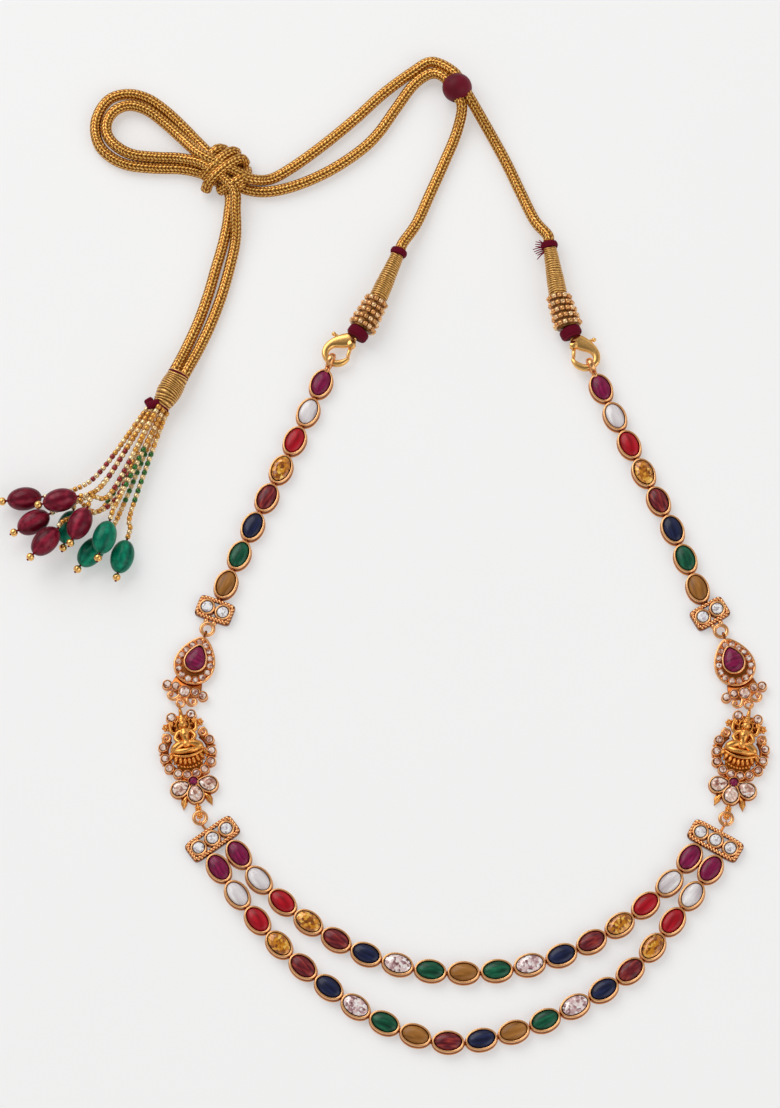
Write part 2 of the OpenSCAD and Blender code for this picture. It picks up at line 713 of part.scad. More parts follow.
module lotus_throne() {
  for (x = [-4:1:4]) translate([x, -0.6 - 0.05 * x * x, 1.6]) sphere(r = 0.85, $fn = fine);
  translate([-4.2, -3, 0.3]) cube([8.4, 2.2, 2.3]);
  for (x = [-3.6:1.2:3.6]) translate([x, -3.4 + 0.04 * x * x, 1.4]) sphere(r = 0.95, $fn = fine);
}

// Four arms, crossed legs, a head and a tall crown
module figure() {
  limb([[-3.1, 0.6, 2.2, 0.5], [-2.5, 0.5, 2.3, 0.85], [-0.6, 0.2, 2.7, 0.75], [1.3, 0.2, 2.9, 0.45]]);
  limb([[3.1, 0.7, 2.1, 0.5], [2.5, 0.7, 2.2, 0.85], [0.8, 1, 2.2, 0.75], [-0.8, 1.2, 2.2, 0.5]]);
  limb([[0, 0.8, 2.1, 1.2], [0, 2, 2.3, 0.9], [0, 3.3, 2.3, 1.15], [0, 4.4, 2.2, 1]], 10);
  limb([[-1.8, 4.1, 2.2, 0.45], [-0.8, 4.35, 2.3, 0.6], [0.8, 4.35, 2.3, 0.6], [1.8, 4.1, 2.2, 0.45]]);
  for (x = [-1, 1]) {
    limb([[x * 1.5, 4.2, 2.3, 0.42], [x * 2.4, 2.7, 2.6, 0.42], [x * 1.7, 1.5, 3.1, 0.36]], 6);
    limb([[x * 1.1, 4.1, 1.9, 0.4], [x * 2.8, 4.5, 1.9, 0.42], [x * 3.1, 6.4, 1.9, 0.34]], 6);
    translate([x * 3.1, 6.9, 0.7]) cylinder(r = 0.75, h = 1.8, $fn = fine);
  }
  bar([0, 4.3, 2.4], [0, 5.7, 2.5], 0.5);
  translate([0, 6.3, 2.6]) sphere(r = 1.1, $fn = fine);
  translate([0, 7.3, 1]) cylinder(r = 1.15, h = 1.8, $fn = fine);
  translate([0, 8.5, 1]) cylinder(r = 0.7, h = 1.4, $fn = fine);
}

module plaque(i) {
  ring_y = plaque_top_y - plaque_l + ring_r;
  color("#c98a3c") in_plaque(i) {
    difference() {
      union() {
        plaque_plate();
        bezels(plaque_seats, plaque_bezel_h);
        translate([0, plaque_ruby_y, 0]) cylinder(r = 1.55, h = plaque_bezel_h + 0.2, $fn = fine);
        for (p = plaque_pears) at(p, p[2]) pear(pear_crystal.x + 0.5, pear_crystal.y + 0.7, plaque_bezel_h);
        for (x = [-1, 1])
          linear_extrude(plate_t) polygon([for (p = leaf_outline) [x * p.x, p.y]]);
        for (x = [-1, 1]) translate([x * 4.4, 6.4, 0]) cylinder(r = 1.2, h = plate_t + 0.3, $fn = fine);
        for (x = [-1, 1]) translate([x * 3 - 1, 5.6, 0]) cube([2, 1.2, plate_t]);
      }
      seats(plaque_seats, plaque_seat_z);
      translate([0, plaque_ruby_y, plaque_seat_z]) cylinder(r = 1.15, h = 3, $fn = fine);
      for (p = plaque_pears)
        at(p, p[2], plaque_seat_z) pear(pear_crystal.x + stone_gap, pear_crystal.y + stone_gap, 3);
    }
    lotus_throne();
    figure();
    translate([0, plaque_top_y, ring_z]) rotate([90, 0, 90]) ring(hook_r, hook_wire);
    bar([0, 8.6, ring_z - 0.3], [0, plaque_top_y - hook_r, ring_z], 0.45);
    translate([0, ring_y, ring_z]) ring(ring_r, ring_wire);
    translate([0, ring_y + ring_r + 0.7, 0.4]) cylinder(r = 1.1, h = 1.7, $fn = fine);
    bar([0, -14.5, 0.8], [0, ring_y + ring_r, ring_z], 0.55);
  }
}

module left_plaque() plaque(0);
module right_plaque() plaque(1);

module plaque_rubies() {
  color("#6e1430")
    for (i = [0, 1])
      in_plaque(i) translate([0, plaque_ruby_y, plaque_seat_z + stone_gap])
        round_stone(1.05, 1.3, cabochon_sections);
}

module plaque_crystals(i) {
  color("#e6dcdc") in_plaque(i) {
    for (row = plaque_seats) translate([row.x, row.y, plaque_seat_z + stone_gap]) round_stone(row[2], 0.9);
    for (p = plaque_pears)
      at(p, p[2], plaque_seat_z + stone_gap) pear_stone(pear_crystal.x, pear_crystal.y, 1.1, cut_sections);
  }
}

module left_plaque_crystals() plaque_crystals(0);
module right_plaque_crystals() plaque_crystals(1);

// Lobster clasps

module in_clasp(i) {
  in_part() at(clasp_at(i), ends[i][tail_turn] - 90, clasp_z) scale([ends[i][lever_side], 1, 1]) children();
}

// Room for the lever: a round place at the pivot and a wedge out to the nub
module lever_slot() {
  low = 0.52 * direction(nub_angle + 90);
  high = 0.52 * direction(nub_angle - lever_swing - 90);
  translate([0, 0, -slot_half]) {
    at(pivot) cylinder(r = 1.3, h = 2 * slot_half, $fn = fine);
    at(pivot) linear_extrude(2 * slot_half)
      polygon([low, low + 7.5 * direction(nub_angle), high + 7.5 * direction(nub_angle - lever_swing), high]);
  }
}

module clasp(i) {
  half = clasp_t / 2;
  color("#d7aa55") in_clasp(i) {
    difference() {
      union() {
        difference() {
          union() {
            translate([0, 0, -half]) cylinder(r = clasp_r, h = clasp_t);
            translate([0, 0, -half]) linear_extrude(clasp_t)
              polygon([[-3.55, 1.5], [-3.3, 3], [-1.5, clasp_tail], [1.45, clasp_tail], [1.45, 4], [2, 1]]);
          }
          for (p = [[-0.2, -0.5], [1.1, 1]]) translate([p.x, p.y, -2]) cylinder(r = hole_r, h = 4);
          translate([0.45, 0.25, -2]) rotate([0, 0, 49]) translate([-1, -hole_r + 0.05, 0])
            cube([2, 2 * hole_r - 0.1, 4]);
          translate([0, 0, -2]) linear_extrude(4)
            polygon([[1.46, 0.3], [4.26, 2.04], [4.4, 6.4], [1.46, 6.4], [1.46, 4.3], [0.3, 3.15], [0.3, 2]]);
        }
        at(pivot, 0, -half) cylinder(r = 1.05, h = clasp_t, $fn = fine);
      }
      lever_slot();
    }
    at(pivot, 0, 0.05 - half) cylinder(r = pin_r, h = clasp_t - 0.1, $fn = fine);
    translate([-0.7, clasp_tail - 0.3, -0.7]) cube([1.4, 1.6, 1.4]);
  }
}

module clasp_lever(i) {
  color("#dcb468") in_clasp(i) at(pivot) {
    difference() {
      union() {
        translate([0, 0, -blade_half]) cylinder(r = 1, h = 2 * blade_half, $fn = fine);
        rotate([0, 0, nub_angle]) translate([0.6, -0.4, -blade_half])
          cube([nub_reach - 0.6, 0.8, 2 * blade_half]);
        rotate([0, 0, gate_angle]) translate([0.6, -0.4, -blade_half]) cube([1, 0.8, 2 * blade_half]);
        rotate([0, 0, gate_angle]) translate([1.25, -gate_half_w, -0.95])
          cube([gate_l - 1.25, 2 * gate_half_w, 1.9]);
      }
      translate([0, 0, -2]) cylinder(r = pin_r + pin_play, h = 4, $fn = fine);
    }
    rotate([0, 0, nub_angle]) translate([nub_reach, 0, 0]) sphere(r = 0.62, $fn = fine);
  }
}

module left_clasp() clasp(0);
module right_clasp() clasp(1);
module left_clasp_lever() clasp_lever(0);
module right_clasp_lever() clasp_lever(1);

// Ties, sleeves and collars at the ends of the cord

module rounded_disc(r, t, round) {
  rotate_extrude() polygon([[0, 0], [r - round, 0], [r - 0.3 * round, 0.3 * round], [r, round],
    [r, t - round], [r - 0.3 * round, t - 0.3 * round], [r - round, t], [0, t]]);
}

// Everything beyond the plane where the next piece starts, less a gap
module beyond(p, turn) {
  lay(p - piece_gap * direction(turn), turn, sleeve_z) cylinder(r = 2 * tie_d, h = 2 * tie_d);
}

module bottom_tie(i) {
  start = tie_at(i) - tie_t / 2 * direction(ends[i][tie_turn]);
  color("#6e002d") in_part() difference() {
    lay(start, ends[i][tie_turn], sleeve_z) rounded_disc(tie_d / 2, tie_t, 0.7);
    beyond(collar_at(i), ends[i][collar_turn]);
    at(clasp_at(i), ends[i][tail_turn] - 90, clasp_z) {
      translate([-tie_hole_w / 2, clasp_tail - 1, -tie_hole_w / 2]) cube([tie_hole_w, 2.5, tie_hole_w]);
      translate([-tie_notch_w / 2, clasp_tail - 2, -clasp_t / 2 - 0.15])
        cube([tie_notch_w, 2.15, clasp_t + 0.3]);
    }
  }
}

collar_rows = 5;
collar_sides = 14;
collar_narrows = 0.17;
collar_sinks = 0.45;
// A row of seed beads from valley to valley: share of the row's length, depth below its crest
bead_row = [[0.04, 0.5], [0.3, 0], [0.7, 0], [0.96, 0.5]];

// Half-breadth and half-height of the collar at a share of its length, from the tie to the sleeve
function collar_half(share) = collar_d / 2 * (1 - collar_narrows * share);
function collar_rise(share) = sleeve_z - 0.05 + collar_sinks * (1 - share);

// One oval section of the collar, which stands on the surface and turns from the tie to the sleeve
function collar_ring(i, share, depth) =
  let (
    p = collar_at(i) + share * collar_l * direction(ends[i][collar_turn]),
    side = up_of(ends[i][collar_turn] + share * (ends[i][sleeve_turn] - ends[i][collar_turn])),
    half = collar_half(share) - depth, rise = collar_rise(share) - depth
  )
  [for (k = [0:collar_sides - 1])
    let (a = (k + 0.5) * 360 / collar_sides, across = half * cos(a))
    [p.x + across * side.x, p.y + across * side.y, collar_rise(share) + 0.05 + rise * sin(a)]];

// The collar's outer form, an oval cone with a ridge for each row of seed beads
module bead_collar(i) {
  color("#c8964b") in_part() skin([
    for (k = [0:collar_rows - 1], row = bead_row) collar_ring(i, (k + row[0]) / collar_rows, row[1])
  ]);
}

// Sections of the wound sleeve: share of its length from the collar, share of its radius
sleeve_sections = [[0, 0.9], [0.04, 1], [0.35, 0.96], [0.7, 0.82], [1, 0.74]];

module sleeve(i) {
  color("#c88228") in_part() lay(sleeve_at(i), ends[i][sleeve_turn], sleeve_z)
    rotate_extrude() polygon(concat([[0, 0]],
      [for (row = sleeve_sections) [row[1] * sleeve_d / 2, row[0] * sleeve_l]], [[0, sleeve_l]]));
}

module top_tie(i) {
  color("#6e002d") in_part() lay(top_tie_at(i), ends[i][sleeve_turn], sleeve_z)
    rounded_disc(top_tie_d / 2, top_tie_t, 0.7);
}

module left_bottom_tie() bottom_tie(0);
module right_bottom_tie() bottom_tie(1);
module left_bead_collar() bead_collar(0);
module right_bead_collar() bead_collar(1);
module left_sleeve() sleeve(0);
module right_sleeve() sleeve(1);
module left_top_tie() top_tie(0);
module right_top_tie() top_tie(1);

// Cords

// A point on the cord at a distance out from its top tie
function on_sleeve(i, out) =
  let (p = cord_start(i) + out * direction(ends[i][sleeve_turn])) [p.x, p.y, sleeve_z];

// A point on the cord at a distance out from the tassel's head
function on_tassel(side, out) =
  let (p = flat(tassel_head) - (out + piece_gap) * head_dir() + side * cord_spacing * up_of(tassel_head[2]))
  [p.x, p.y, tassel_z];

module cord_left() {
  color("#c88228") in_part() {
    cord(concat([on_sleeve(0, 0), on_sleeve(0, 2)], left_to_knot));
    cord(left_loop);
    cord(concat(left_tail, [on_tassel(-1, 2), on_tassel(-1, 0)]));
  }
}

module cord_right() {
  color("#be7a26") in_part() {
    cord(concat([on_sleeve(1, 0), on_sleeve(1, 2)], right_to_knot));
    cord(right_loop);
    cord(concat(right_tail, [on_tassel(1, 2), on_tassel(1, 0)]));
  }
}

// The outer form of the knot: a rounded core and the strands that cross it
module cord_knot() {
  color("#c07c26") in_part() {
    at(knot_middle, 0, 0.1) rotate_extrude()
      polygon([[0, 0], [3.6, 0], [4.9, 0.8], [5.4, 2.2], [5.2, 3.8], [4, 5], [0, 5.4]]);
    for (s = knot_strands) capsule([s[0], s[1], s[2]], [s[3], s[4], s[5]], cord_d / 2);
  }
}

module slide_bead() {
  color("#6e0a23") in_part() difference() {
    translate([bore_middle.x, bore_middle.y, slide_bead_d / 2]) sphere(r = slide_bead_d / 2);
    translate([bore_middle.x, bore_middle.y, slide_bead_d / 2]) rotate([0, 90, bore_turn]) {
      for (s = [-1, 1]) translate([0, s * cord_spacing, -6]) cylinder(r = cord_d / 2 + 0.1, h = 12);
      translate([-cord_d / 2, -cord_spacing, -6]) cube([cord_d, 2 * cord_spacing, 12]);
    }
  }
}

// Tassel

function head_dir() = direction(tassel_head[2]);
function string_foot(row) =
  let (p = flat(tassel_head) + (tassel_sleeve_l + 0.3) * head_dir() + row[0] * up_of(tassel_head[2]))
  [p.x, p.y, row[1]];
function bead_axis(row) = [cos(row[8]), sin(row[8]), 0];
function bead_at(row) = [row[5], row[6], row[7]];

// The string's path from the tassel's head to the inner end of its glass bead
function string_route(row) = [
  string_foot(row),
  string_foot(row) + 5 * [head_dir().x, head_dir().y, 0]
    + 0.25 * row[0] * [up_of(tassel_head[2]).x, up_of(tassel_head[2]).y, 0],
  [row[2], row[3], row[4]],
  bead_at(row) - (glass_l / 2 + 3.5) * bead_axis(row),
  bead_at(row) - (glass_l / 2 + 0.4) * bead_axis(row)
];

module tassel_string(row) {
  beaded = smooth(string_route(row), 3);
  thread = [for (s = [-1, 1])
    bead_at(row) + s * (glass_l / 2 + (s > 0 ? end_bead_d + 0.2 : 0.15)) * bead_axis(row)];
  path = concat(beaded, thread);
  tube(path, concat([for (p = beaded) string_d / 2], [thread_r, thread_r]), 6);
}

module tassel_strings() {
  color("#e0b868") in_part() for (row = strings) tassel_string(row);
}

// A long glass bead, drilled for its thread
module glass_bead() {
  rotate_extrude() polygon(concat(
    [for (a = [-82:8.2:82]) [glass_d / 2 * cos(a), glass_l / 2 * sin(a)]],
    [[bead_bore_r, glass_l / 2 * sin(82)], [bead_bore_r, -glass_l / 2 * sin(82)]]));
}

module glass_beads(red) {
  in_part() for (row = strings) if (row[9] == red) lay(bead_at(row), row[8], row[7]) glass_bead();
}

module tassel_red_beads() color("#78192d") glass_beads(1);
module tassel_green_beads() color("#006e4b") glass_beads(0);

module tassel_end_beads() {
  color("#ebc878") in_part()
    for (row = strings)
      lay(bead_at(row) + (glass_l / 2 + end_bead_d / 2 + 0.15) * bead_axis(row), row[8], row[7])
        difference() {
          sphere(r = end_bead_d / 2, $fn = fine);
          translate([0, 0, -2]) cylinder(r = bead_bore_r, h = 4, $fn = fine);
        }
}

module tassel_sleeve() {
  color("#b98a48") in_part() lay(tassel_head, tassel_head[2], tassel_z)
    rotate_extrude() polygon(concat([[0, 0]],
      [for (row = head_sections) [row[1] * tassel_sleeve_d / 2, row[0] * tassel_sleeve_l]],
      [[0, tassel_sleeve_l]]));
}

// The small knot of maroon thread beside the head's lower end
module tassel_tie() {
  p = flat(tassel_head) + (tassel_sleeve_l - 1) * head_dir() - 3.7 * up_of(tassel_head[2]);
  color("#6e0028") in_part() lay(p, tassel_head[2] - 30, 1.6) translate([0, 0, -1.2])
    rounded_disc(1.1, 2.4, 0.5);
}

cord_left();
cord_right();
cord_knot();
slide_bead();
left_top_tie();
right_top_tie();
left_sleeve();
right_sleeve();
left_bead_collar();
right_bead_collar();
left_bottom_tie();
right_bottom_tie();
left_clasp();
right_clasp();
left_clasp_lever();
right_clasp_lever();
left_upper_chain();
right_upper_chain();
inner_strand();
outer_strand();
ruby_stones();
pearl_stones();
coral_stones();
citrine_stones();
garnet_stones();
sapphire_stones();
emerald_stones();
cats_eye_stones();
crystal_stones();
left_two_stone_bar();
right_two_stone_bar();
left_three_stone_bar();
right_three_stone_bar();
bar_crystals();
left_drop();
right_drop();
drop_rubies();
left_drop_crystals();
right_drop_crystals();
left_plaque();
right_plaque();
plaque_rubies();
left_plaque_crystals();
right_plaque_crystals();
tassel_sleeve();
tassel_tie();
tassel_strings();
tassel_red_beads();
tassel_green_beads();
tassel_end_beads();
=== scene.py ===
# %% [markdown]
# # A temple necklace in Blender
# This lesson dresses a necklace that lies flat: two strands of oval stones, gem bars, pear drops and figure
# plaques at the sides, two lobster clasps, and a gold zari cord with a sliding bead, a bow knot and a tassel.
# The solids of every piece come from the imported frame. Here the small things are made that give the eye its
# pleasure: braid, thread, beads, granules, rounded rims and foiled stones.

import math

import bpy
import numpy as np
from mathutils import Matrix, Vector


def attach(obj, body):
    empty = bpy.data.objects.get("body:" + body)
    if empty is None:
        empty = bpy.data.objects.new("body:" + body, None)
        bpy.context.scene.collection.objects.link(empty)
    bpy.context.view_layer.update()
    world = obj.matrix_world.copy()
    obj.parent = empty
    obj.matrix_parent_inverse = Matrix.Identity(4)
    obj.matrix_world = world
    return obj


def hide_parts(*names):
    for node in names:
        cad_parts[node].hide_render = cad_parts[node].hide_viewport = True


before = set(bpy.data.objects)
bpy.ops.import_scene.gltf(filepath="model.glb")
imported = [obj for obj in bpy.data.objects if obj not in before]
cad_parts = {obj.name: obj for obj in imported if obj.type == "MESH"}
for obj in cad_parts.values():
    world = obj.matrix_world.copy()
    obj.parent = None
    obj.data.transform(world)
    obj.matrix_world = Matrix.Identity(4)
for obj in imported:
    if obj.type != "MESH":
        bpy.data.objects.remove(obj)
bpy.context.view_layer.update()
MM = 0.001
scene = bpy.context.scene
scene.view_settings.view_transform = "Standard"
print("nodes in the frame:", len(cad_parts))

# %% [markdown]
# ## The camera
# The photograph was taken from the front side, high above the necklace. A long lens far away keeps the oval
# links from spreading, as in the picture. The lens is worked out from the width that the picture takes in.

# %% Camera at the photograph's angle
LOOK_AT = (1.5 * MM, 24.3 * MM, 0.0)
ELEVATION = math.radians(72)
DISTANCE = 1.7
WIDTH_SEEN = 0.2053
SENSOR = 36.0

camera_data = bpy.data.cameras.new("camera")
camera_data.sensor_fit = "HORIZONTAL"
camera_data.sensor_width = SENSOR
camera_data.lens = SENSOR * DISTANCE / WIDTH_SEEN
camera_data.clip_end = 20
camera = bpy.data.objects.new("camera", camera_data)
scene.collection.objects.link(camera)
target = Vector(LOOK_AT)
camera.location = target + DISTANCE * Vector((0, -math.cos(ELEVATION), math.sin(ELEVATION)))
camera.rotation_euler = (target - camera.location).to_track_quat("-Z", "Y").to_euler()
scene.camera = camera
print("lens: %.0f mm" % camera_data.lens)

# %% [markdown]
# ## The layout
# The necklace is laid out in its own frame, in millimetres: X is 0 on its middle line. These values and short
# tables are the same ones that the solids were made from, so each finished piece lands on its solid.

# %% Sizes and places in millimetres
BOX_MIDDLE = np.array([-20.6, -24.3])
LINK_L, LINK_W, LINK_H = 8.3, 5.9, 2.5
BAR_W, BAR_H = 6.0, 2.3
EDGE_GAP = 0.16
DROP_L, PLAQUE_L = 20.8, 32.2
# from a bar's edge to the ring under it or over it, and from a drop's and a plaque's middle up to its top ring
DROP_BELOW_BAR, BAR_BELOW_PLAQUE, DROP_TOP, PLAQUE_TOP = 4.1, 2.1, 8, 11.5
CORD_D = 2.8
SLEEVE_Z, SLEEVE_D, COLLAR_D, TIE_D = 3.1, 5.0, 8.2, 5.9
TIE_T, TOP_TIE_T, TOP_TIE_D = 2.6, 2.0, 4.6
COLLAR_L, SLEEVE_L, PIECE_GAP = 9.8, 13.2, 0.05
CLASP_Z, TIE_TO_CLASP, HOOK_R, RING_TO_CHAIN = 2.2, 7.5, 3.0, 2.3
STRAND_X = 3.1

# bottom tie X, Y, its turn, collar's turn, sleeve's turn, clasp tail's turn, hook's turn, ring's turn, lever side
ENDS = [
    [-27.6, 60.6, 54, 63, 67, 42, 236, 248, 1],
    [28.9, 60.8, 114, 106, 99, 121, 300, 292, -1],
]
# two-stone bar X, Y, then the turns of that bar, the drop, the plaque and the three-stone bar
SIDES = [
    [-65, -15.9, -20.5, -18.5, 10.7, 36],
    [64.8, -16.8, 30, 18.2, -12.6, -30],
]
UPPER_POINTS = [
    [[-40.6, 39.3], [-47.7, 23.3], [-55.2, 7.2]],
    [[40.4, 37.9], [47.7, 22.4], [55.1, 6.8]],
]
INNER_POINTS = [
    [-52.9, -89.2], [-40, -100.6], [-25.1, -109], [-8.4, -113.4],
    [8.6, -113.3], [25.2, -109.2], [40.3, -101.1], [53.4, -89.8],
]
OUTER_POINTS = [
    [-58.4, -93.3], [-47.6, -106.5], [-34.6, -118], [-20.4, -127.2], [-4.3, -132.2],
    [12.6, -129.5], [28.3, -122.8], [43, -113.2], [53.8, -100.4],
]


# %% [markdown]
# ## Small helpers for curves
# A chain hangs or lies on a smooth curve. A Catmull-Rom curve goes through each point of a short table, and the
# links share its length evenly. Everything is worked out on whole arrays.

# %% Directions and curves
def direction(turn):
    """The unit vector that a turn in degrees points along."""
    a = np.radians(turn)
    return np.array([np.cos(a), np.sin(a)])


def up_of(turn):
    """The unit vector a quarter turn to the left of direction(turn)."""
    a = np.radians(turn)
    return np.array([-np.sin(a), np.cos(a)])


def smooth(points, steps):
    """A Catmull-Rom curve: between each two points, a cubic whose slope at a point is half of the step between its
    neighbours."""
    p = np.asarray(points, float)
    a = p[np.maximum(np.arange(len(p) - 1) - 1, 0)][:, None]
    b, c = p[:-1][:, None], p[1:][:, None]
    d = p[np.minimum(np.arange(len(p) - 1) + 2, len(p) - 1)][:, None]
    t = (np.arange(steps) / steps)[None, :, None]
    curve = 0.5 * (2 * b + (c - a) * t + (2 * a - 5 * b + 4 * c - d) * t**2 + (3 * b - a - 3 * c + d) * t**3)
    return np.concatenate([curve.reshape(-1, p.shape[1]), p[-1:]])


def distances(path):
    """The distance along a path to each of its points."""
    return np.concatenate([[0.0], np.cumsum(np.linalg.norm(np.diff(path, axis=0), axis=1))])


def resample(path, spacing):
    """The same path with even steps of about the spacing."""
    s = distances(path)
    t = np.linspace(0, s[-1], max(int(round(s[-1] / spacing)), 2) + 1)
    return np.stack([np.interp(t, s, path[:, k]) for k in range(path.shape[1])], axis=1)


def link_frames(points, count):
    """X, Y and turn of each of count links that share a curve evenly."""
    path = smooth(points, 10)
    s = distances(path)
    at = (np.arange(count) + 0.5) * s[-1] / count
    seg = np.clip(np.searchsorted(s, at) - 1, 0, len(path) - 2)
    step = path[seg + 1] - path[seg]
    p = path[seg] + step * ((at - s[seg]) / np.linalg.norm(step, axis=1))[:, None]
    return np.column_stack([p, np.degrees(np.arctan2(step[:, 1], step[:, 0]))])


def side_places(i):
    """The middles of the pieces down side i, each of which hangs on the one above it."""
    x, y, bar, drop, plaque, three = SIDES[i]
    top = np.array([x, y]) - (BAR_W / 2 + DROP_BELOW_BAR) * up_of(bar)
    foot = top - DROP_L * up_of(drop)
    low = foot - PLAQUE_L * up_of(plaque)
    return {"two": np.array([x, y]), "drop": top - DROP_TOP * up_of(drop),
            "plaque": foot - PLAQUE_TOP * up_of(plaque),
            "three": low - (BAR_W / 2 + BAR_BELOW_PLAQUE) * up_of(three)}


def bar_top(i):
    """Where an upper chain meets the upper edge of side i's two-stone bar."""
    return side_places(i)["two"] + (BAR_W / 2 + EDGE_GAP) * up_of(SIDES[i][2])


def bar_foot(i, x):
    """Where a strand meets the lower edge of side i's three-stone bar, x beside the bar's middle."""
    three = SIDES[i][5]
    return side_places(i)["three"] + x * direction(three) - (BAR_W / 2 + EDGE_GAP) * up_of(three)


def end_places(i):
    """Where the pieces on end i of the cord start."""
    x, y, tie, collar, sleeve, tail, hook, ring, _ = ENDS[i]
    tie_at = np.array([x, y])
    clasp = tie_at - TIE_TO_CLASP * direction(tail)
    chain_ring = clasp + HOOK_R * direction(hook)
    collar_at = tie_at + (TIE_T / 2 + PIECE_GAP) * direction(tie)
    sleeve_at = collar_at + (COLLAR_L + PIECE_GAP) * direction(collar)
    top_tie = sleeve_at + (SLEEVE_L + PIECE_GAP) * direction(sleeve)
    return {"tie": tie_at, "clasp": clasp, "ring": chain_ring, "collar": collar_at, "sleeve": sleeve_at,
            "top_tie": top_tie, "cord": top_tie + (TOP_TIE_T + PIECE_GAP) * direction(sleeve),
            "chain": chain_ring + RING_TO_CHAIN * direction(ring)}


# a chain's first end, the points that it goes through, its last end and its number of links
CHAIN_ROWS = {
    "left_upper_chain": (end_places(0)["chain"], UPPER_POINTS[0], bar_top(0), 8),
    "right_upper_chain": (end_places(1)["chain"], UPPER_POINTS[1], bar_top(1), 8),
    "inner_strand": (bar_foot(0, STRAND_X), INNER_POINTS, bar_foot(1, -STRAND_X), 17),
    "outer_strand": (bar_foot(0, -STRAND_X), OUTER_POINTS, bar_foot(1, STRAND_X), 20),
}
CHAINS = {
    name: link_frames([first, *points, last], count) for name, (first, points, last, count) in CHAIN_ROWS.items()
}
for name, rows in CHAINS.items():
    print(name, "links", len(rows), "pitch %.2f mm" % np.linalg.norm(rows[1, :2] - rows[0, :2]))

# %% [markdown]
# ## Helpers that put shapes into Blender
# A surface is a grid of points from a function of two parameters. Rows of the grid run along the piece and
# columns run round it. `grid_faces` joins the rows, round and capped where asked. A `Builder` collects many such
# shapes, each with its own UV coordinates, and makes one mesh from them, so that a string of beads is one piece.


# %% Grids and meshes
def grid_faces(rows, cols, loop=False):
    """Quads that join neighbouring rows and columns of a grid, closed round the columns, and along the rows too if
    it is a loop."""
    i = np.arange(rows if loop else rows - 1)[:, None]
    j = np.arange(cols)[None, :]
    k, m = (j + 1) % cols, (i + 1) % rows
    return np.stack([i * cols + j, i * cols + k, m * cols + k, m * cols + j], axis=-1).reshape(-1, 4)


class Builder:
    """Collects grids of points, in millimetres in the necklace's own frame, and makes one mesh."""

    def __init__(self):
        """Starts empty, at the necklace's own origin."""
        self.points, self.faces, self.uvs, self.tints, self.count = [], [], [], [], 0
        self.here([0.0, 0.0])

    def here(self, at, turn=0.0, z=0.0):
        """What is added from now on is turned and moved to this place on the plan."""
        self.place = (at, turn, z)
        return self

    def grid(self, p, loop=False, uv=None, tint=0.0):
        """p is rows x columns x 3. Columns turn anticlockwise as seen from the last row. A grid that is no loop
        gets a fan of triangles on each end. tint is one value, one for each row, or one for each point."""
        rows, cols = p.shape[:2]
        self.faces.extend(map(tuple, (grid_faces(rows, cols, loop) + self.count).tolist()))
        tint = np.asarray(tint, float)
        tint = np.broadcast_to(tint[:, None] if tint.ndim == 1 else tint, (rows, cols)).ravel()
        p = placed(p, *self.place)
        flat = p.reshape(-1, 3)
        if uv is None:
            v, u = np.meshgrid(np.arange(cols) / cols, np.arange(rows) / max(rows - 1, 1))
            uv = np.stack([u, v], axis=-1)
        uv = uv.reshape(-1, 2)
        added = len(flat)
        if not loop:
            ends = np.array([p[0].mean(axis=0), p[-1].mean(axis=0)])
            j = np.arange(cols)
            k = (j + 1) % cols
            first = np.stack([np.full(cols, added), k, j], axis=1) + self.count
            last = np.stack([np.full(cols, added + 1), j + (rows - 1) * cols, k + (rows - 1) * cols], axis=1)
            self.faces.extend(map(tuple, first.tolist()))
            self.faces.extend(map(tuple, (last + self.count).tolist()))
            flat = np.concatenate([flat, ends])
            uv = np.concatenate([uv, uv[:1], uv[-1:]])
            tint = np.concatenate([tint, tint[:1], tint[-1:]])
            added += 2
        self.points.append(flat)
        self.uvs.append(uv)
        self.tints.append(tint)
        self.count += added

    def raw(self, points, faces, tint=0.0):
        """Points and faces that are already worked out."""
        self.points.append(placed(points, *self.place))
        self.uvs.append(np.zeros((len(points), 2)))
        self.tints.append(np.full(len(points), float(tint)))
        self.faces.extend(tuple(int(v) + self.count for v in f) for f in faces)
        self.count += len(points)

    def make(self, name, material, slot, replaces=None, body="necklace", sharp=None):
        """One Blender object in metres, which takes a material, rides on a body, and stands for a CAD node if one
        is named. Its slot is not used. Edges of more than so many degrees stay sharp."""
        points = (np.concatenate(self.points) - [*BOX_MIDDLE, 0.0]) * MM
        mesh = bpy.data.meshes.new(name)
        mesh.from_pydata(points.tolist(), [], self.faces)
        loops = np.zeros(len(mesh.loops), np.int32)
        mesh.loops.foreach_get("vertex_index", loops)
        mesh.uv_layers.new(name="UVMap").data.foreach_set("uv", np.concatenate(self.uvs)[loops].ravel())
        tint = mesh.attributes.new("tint", "FLOAT", "POINT")
        tint.data.foreach_set("value", np.concatenate(self.tints))
        mesh.polygons.foreach_set("use_smooth", np.ones(len(mesh.polygons), bool))
        if sharp is not None:
            mesh.set_sharp_from_angle(angle=math.radians(sharp))
        mesh.materials.append(material)
        mesh.validate()
        mesh.update()
        piece = bpy.data.objects.new(name, mesh)
        scene.collection.objects.link(piece)
        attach(piece, body)
        if replaces:
            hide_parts(replaces)
        print("%s: %d faces" % (name, len(mesh.polygons)))
        return piece


print("a tube of 3 rings of 8 points has", len(grid_faces(3, 8)), "quads")

# %% [markdown]
# Most small parts are made round their own Z axis and then laid along a direction. A lathe turns a profile,
# and a tube carries a ring of points along a path.

# %% Lathes, tubes and places
def unit(v):
    """A direction divided by its length."""
    return v / np.maximum(np.linalg.norm(v, axis=-1, keepdims=True), 1e-12)


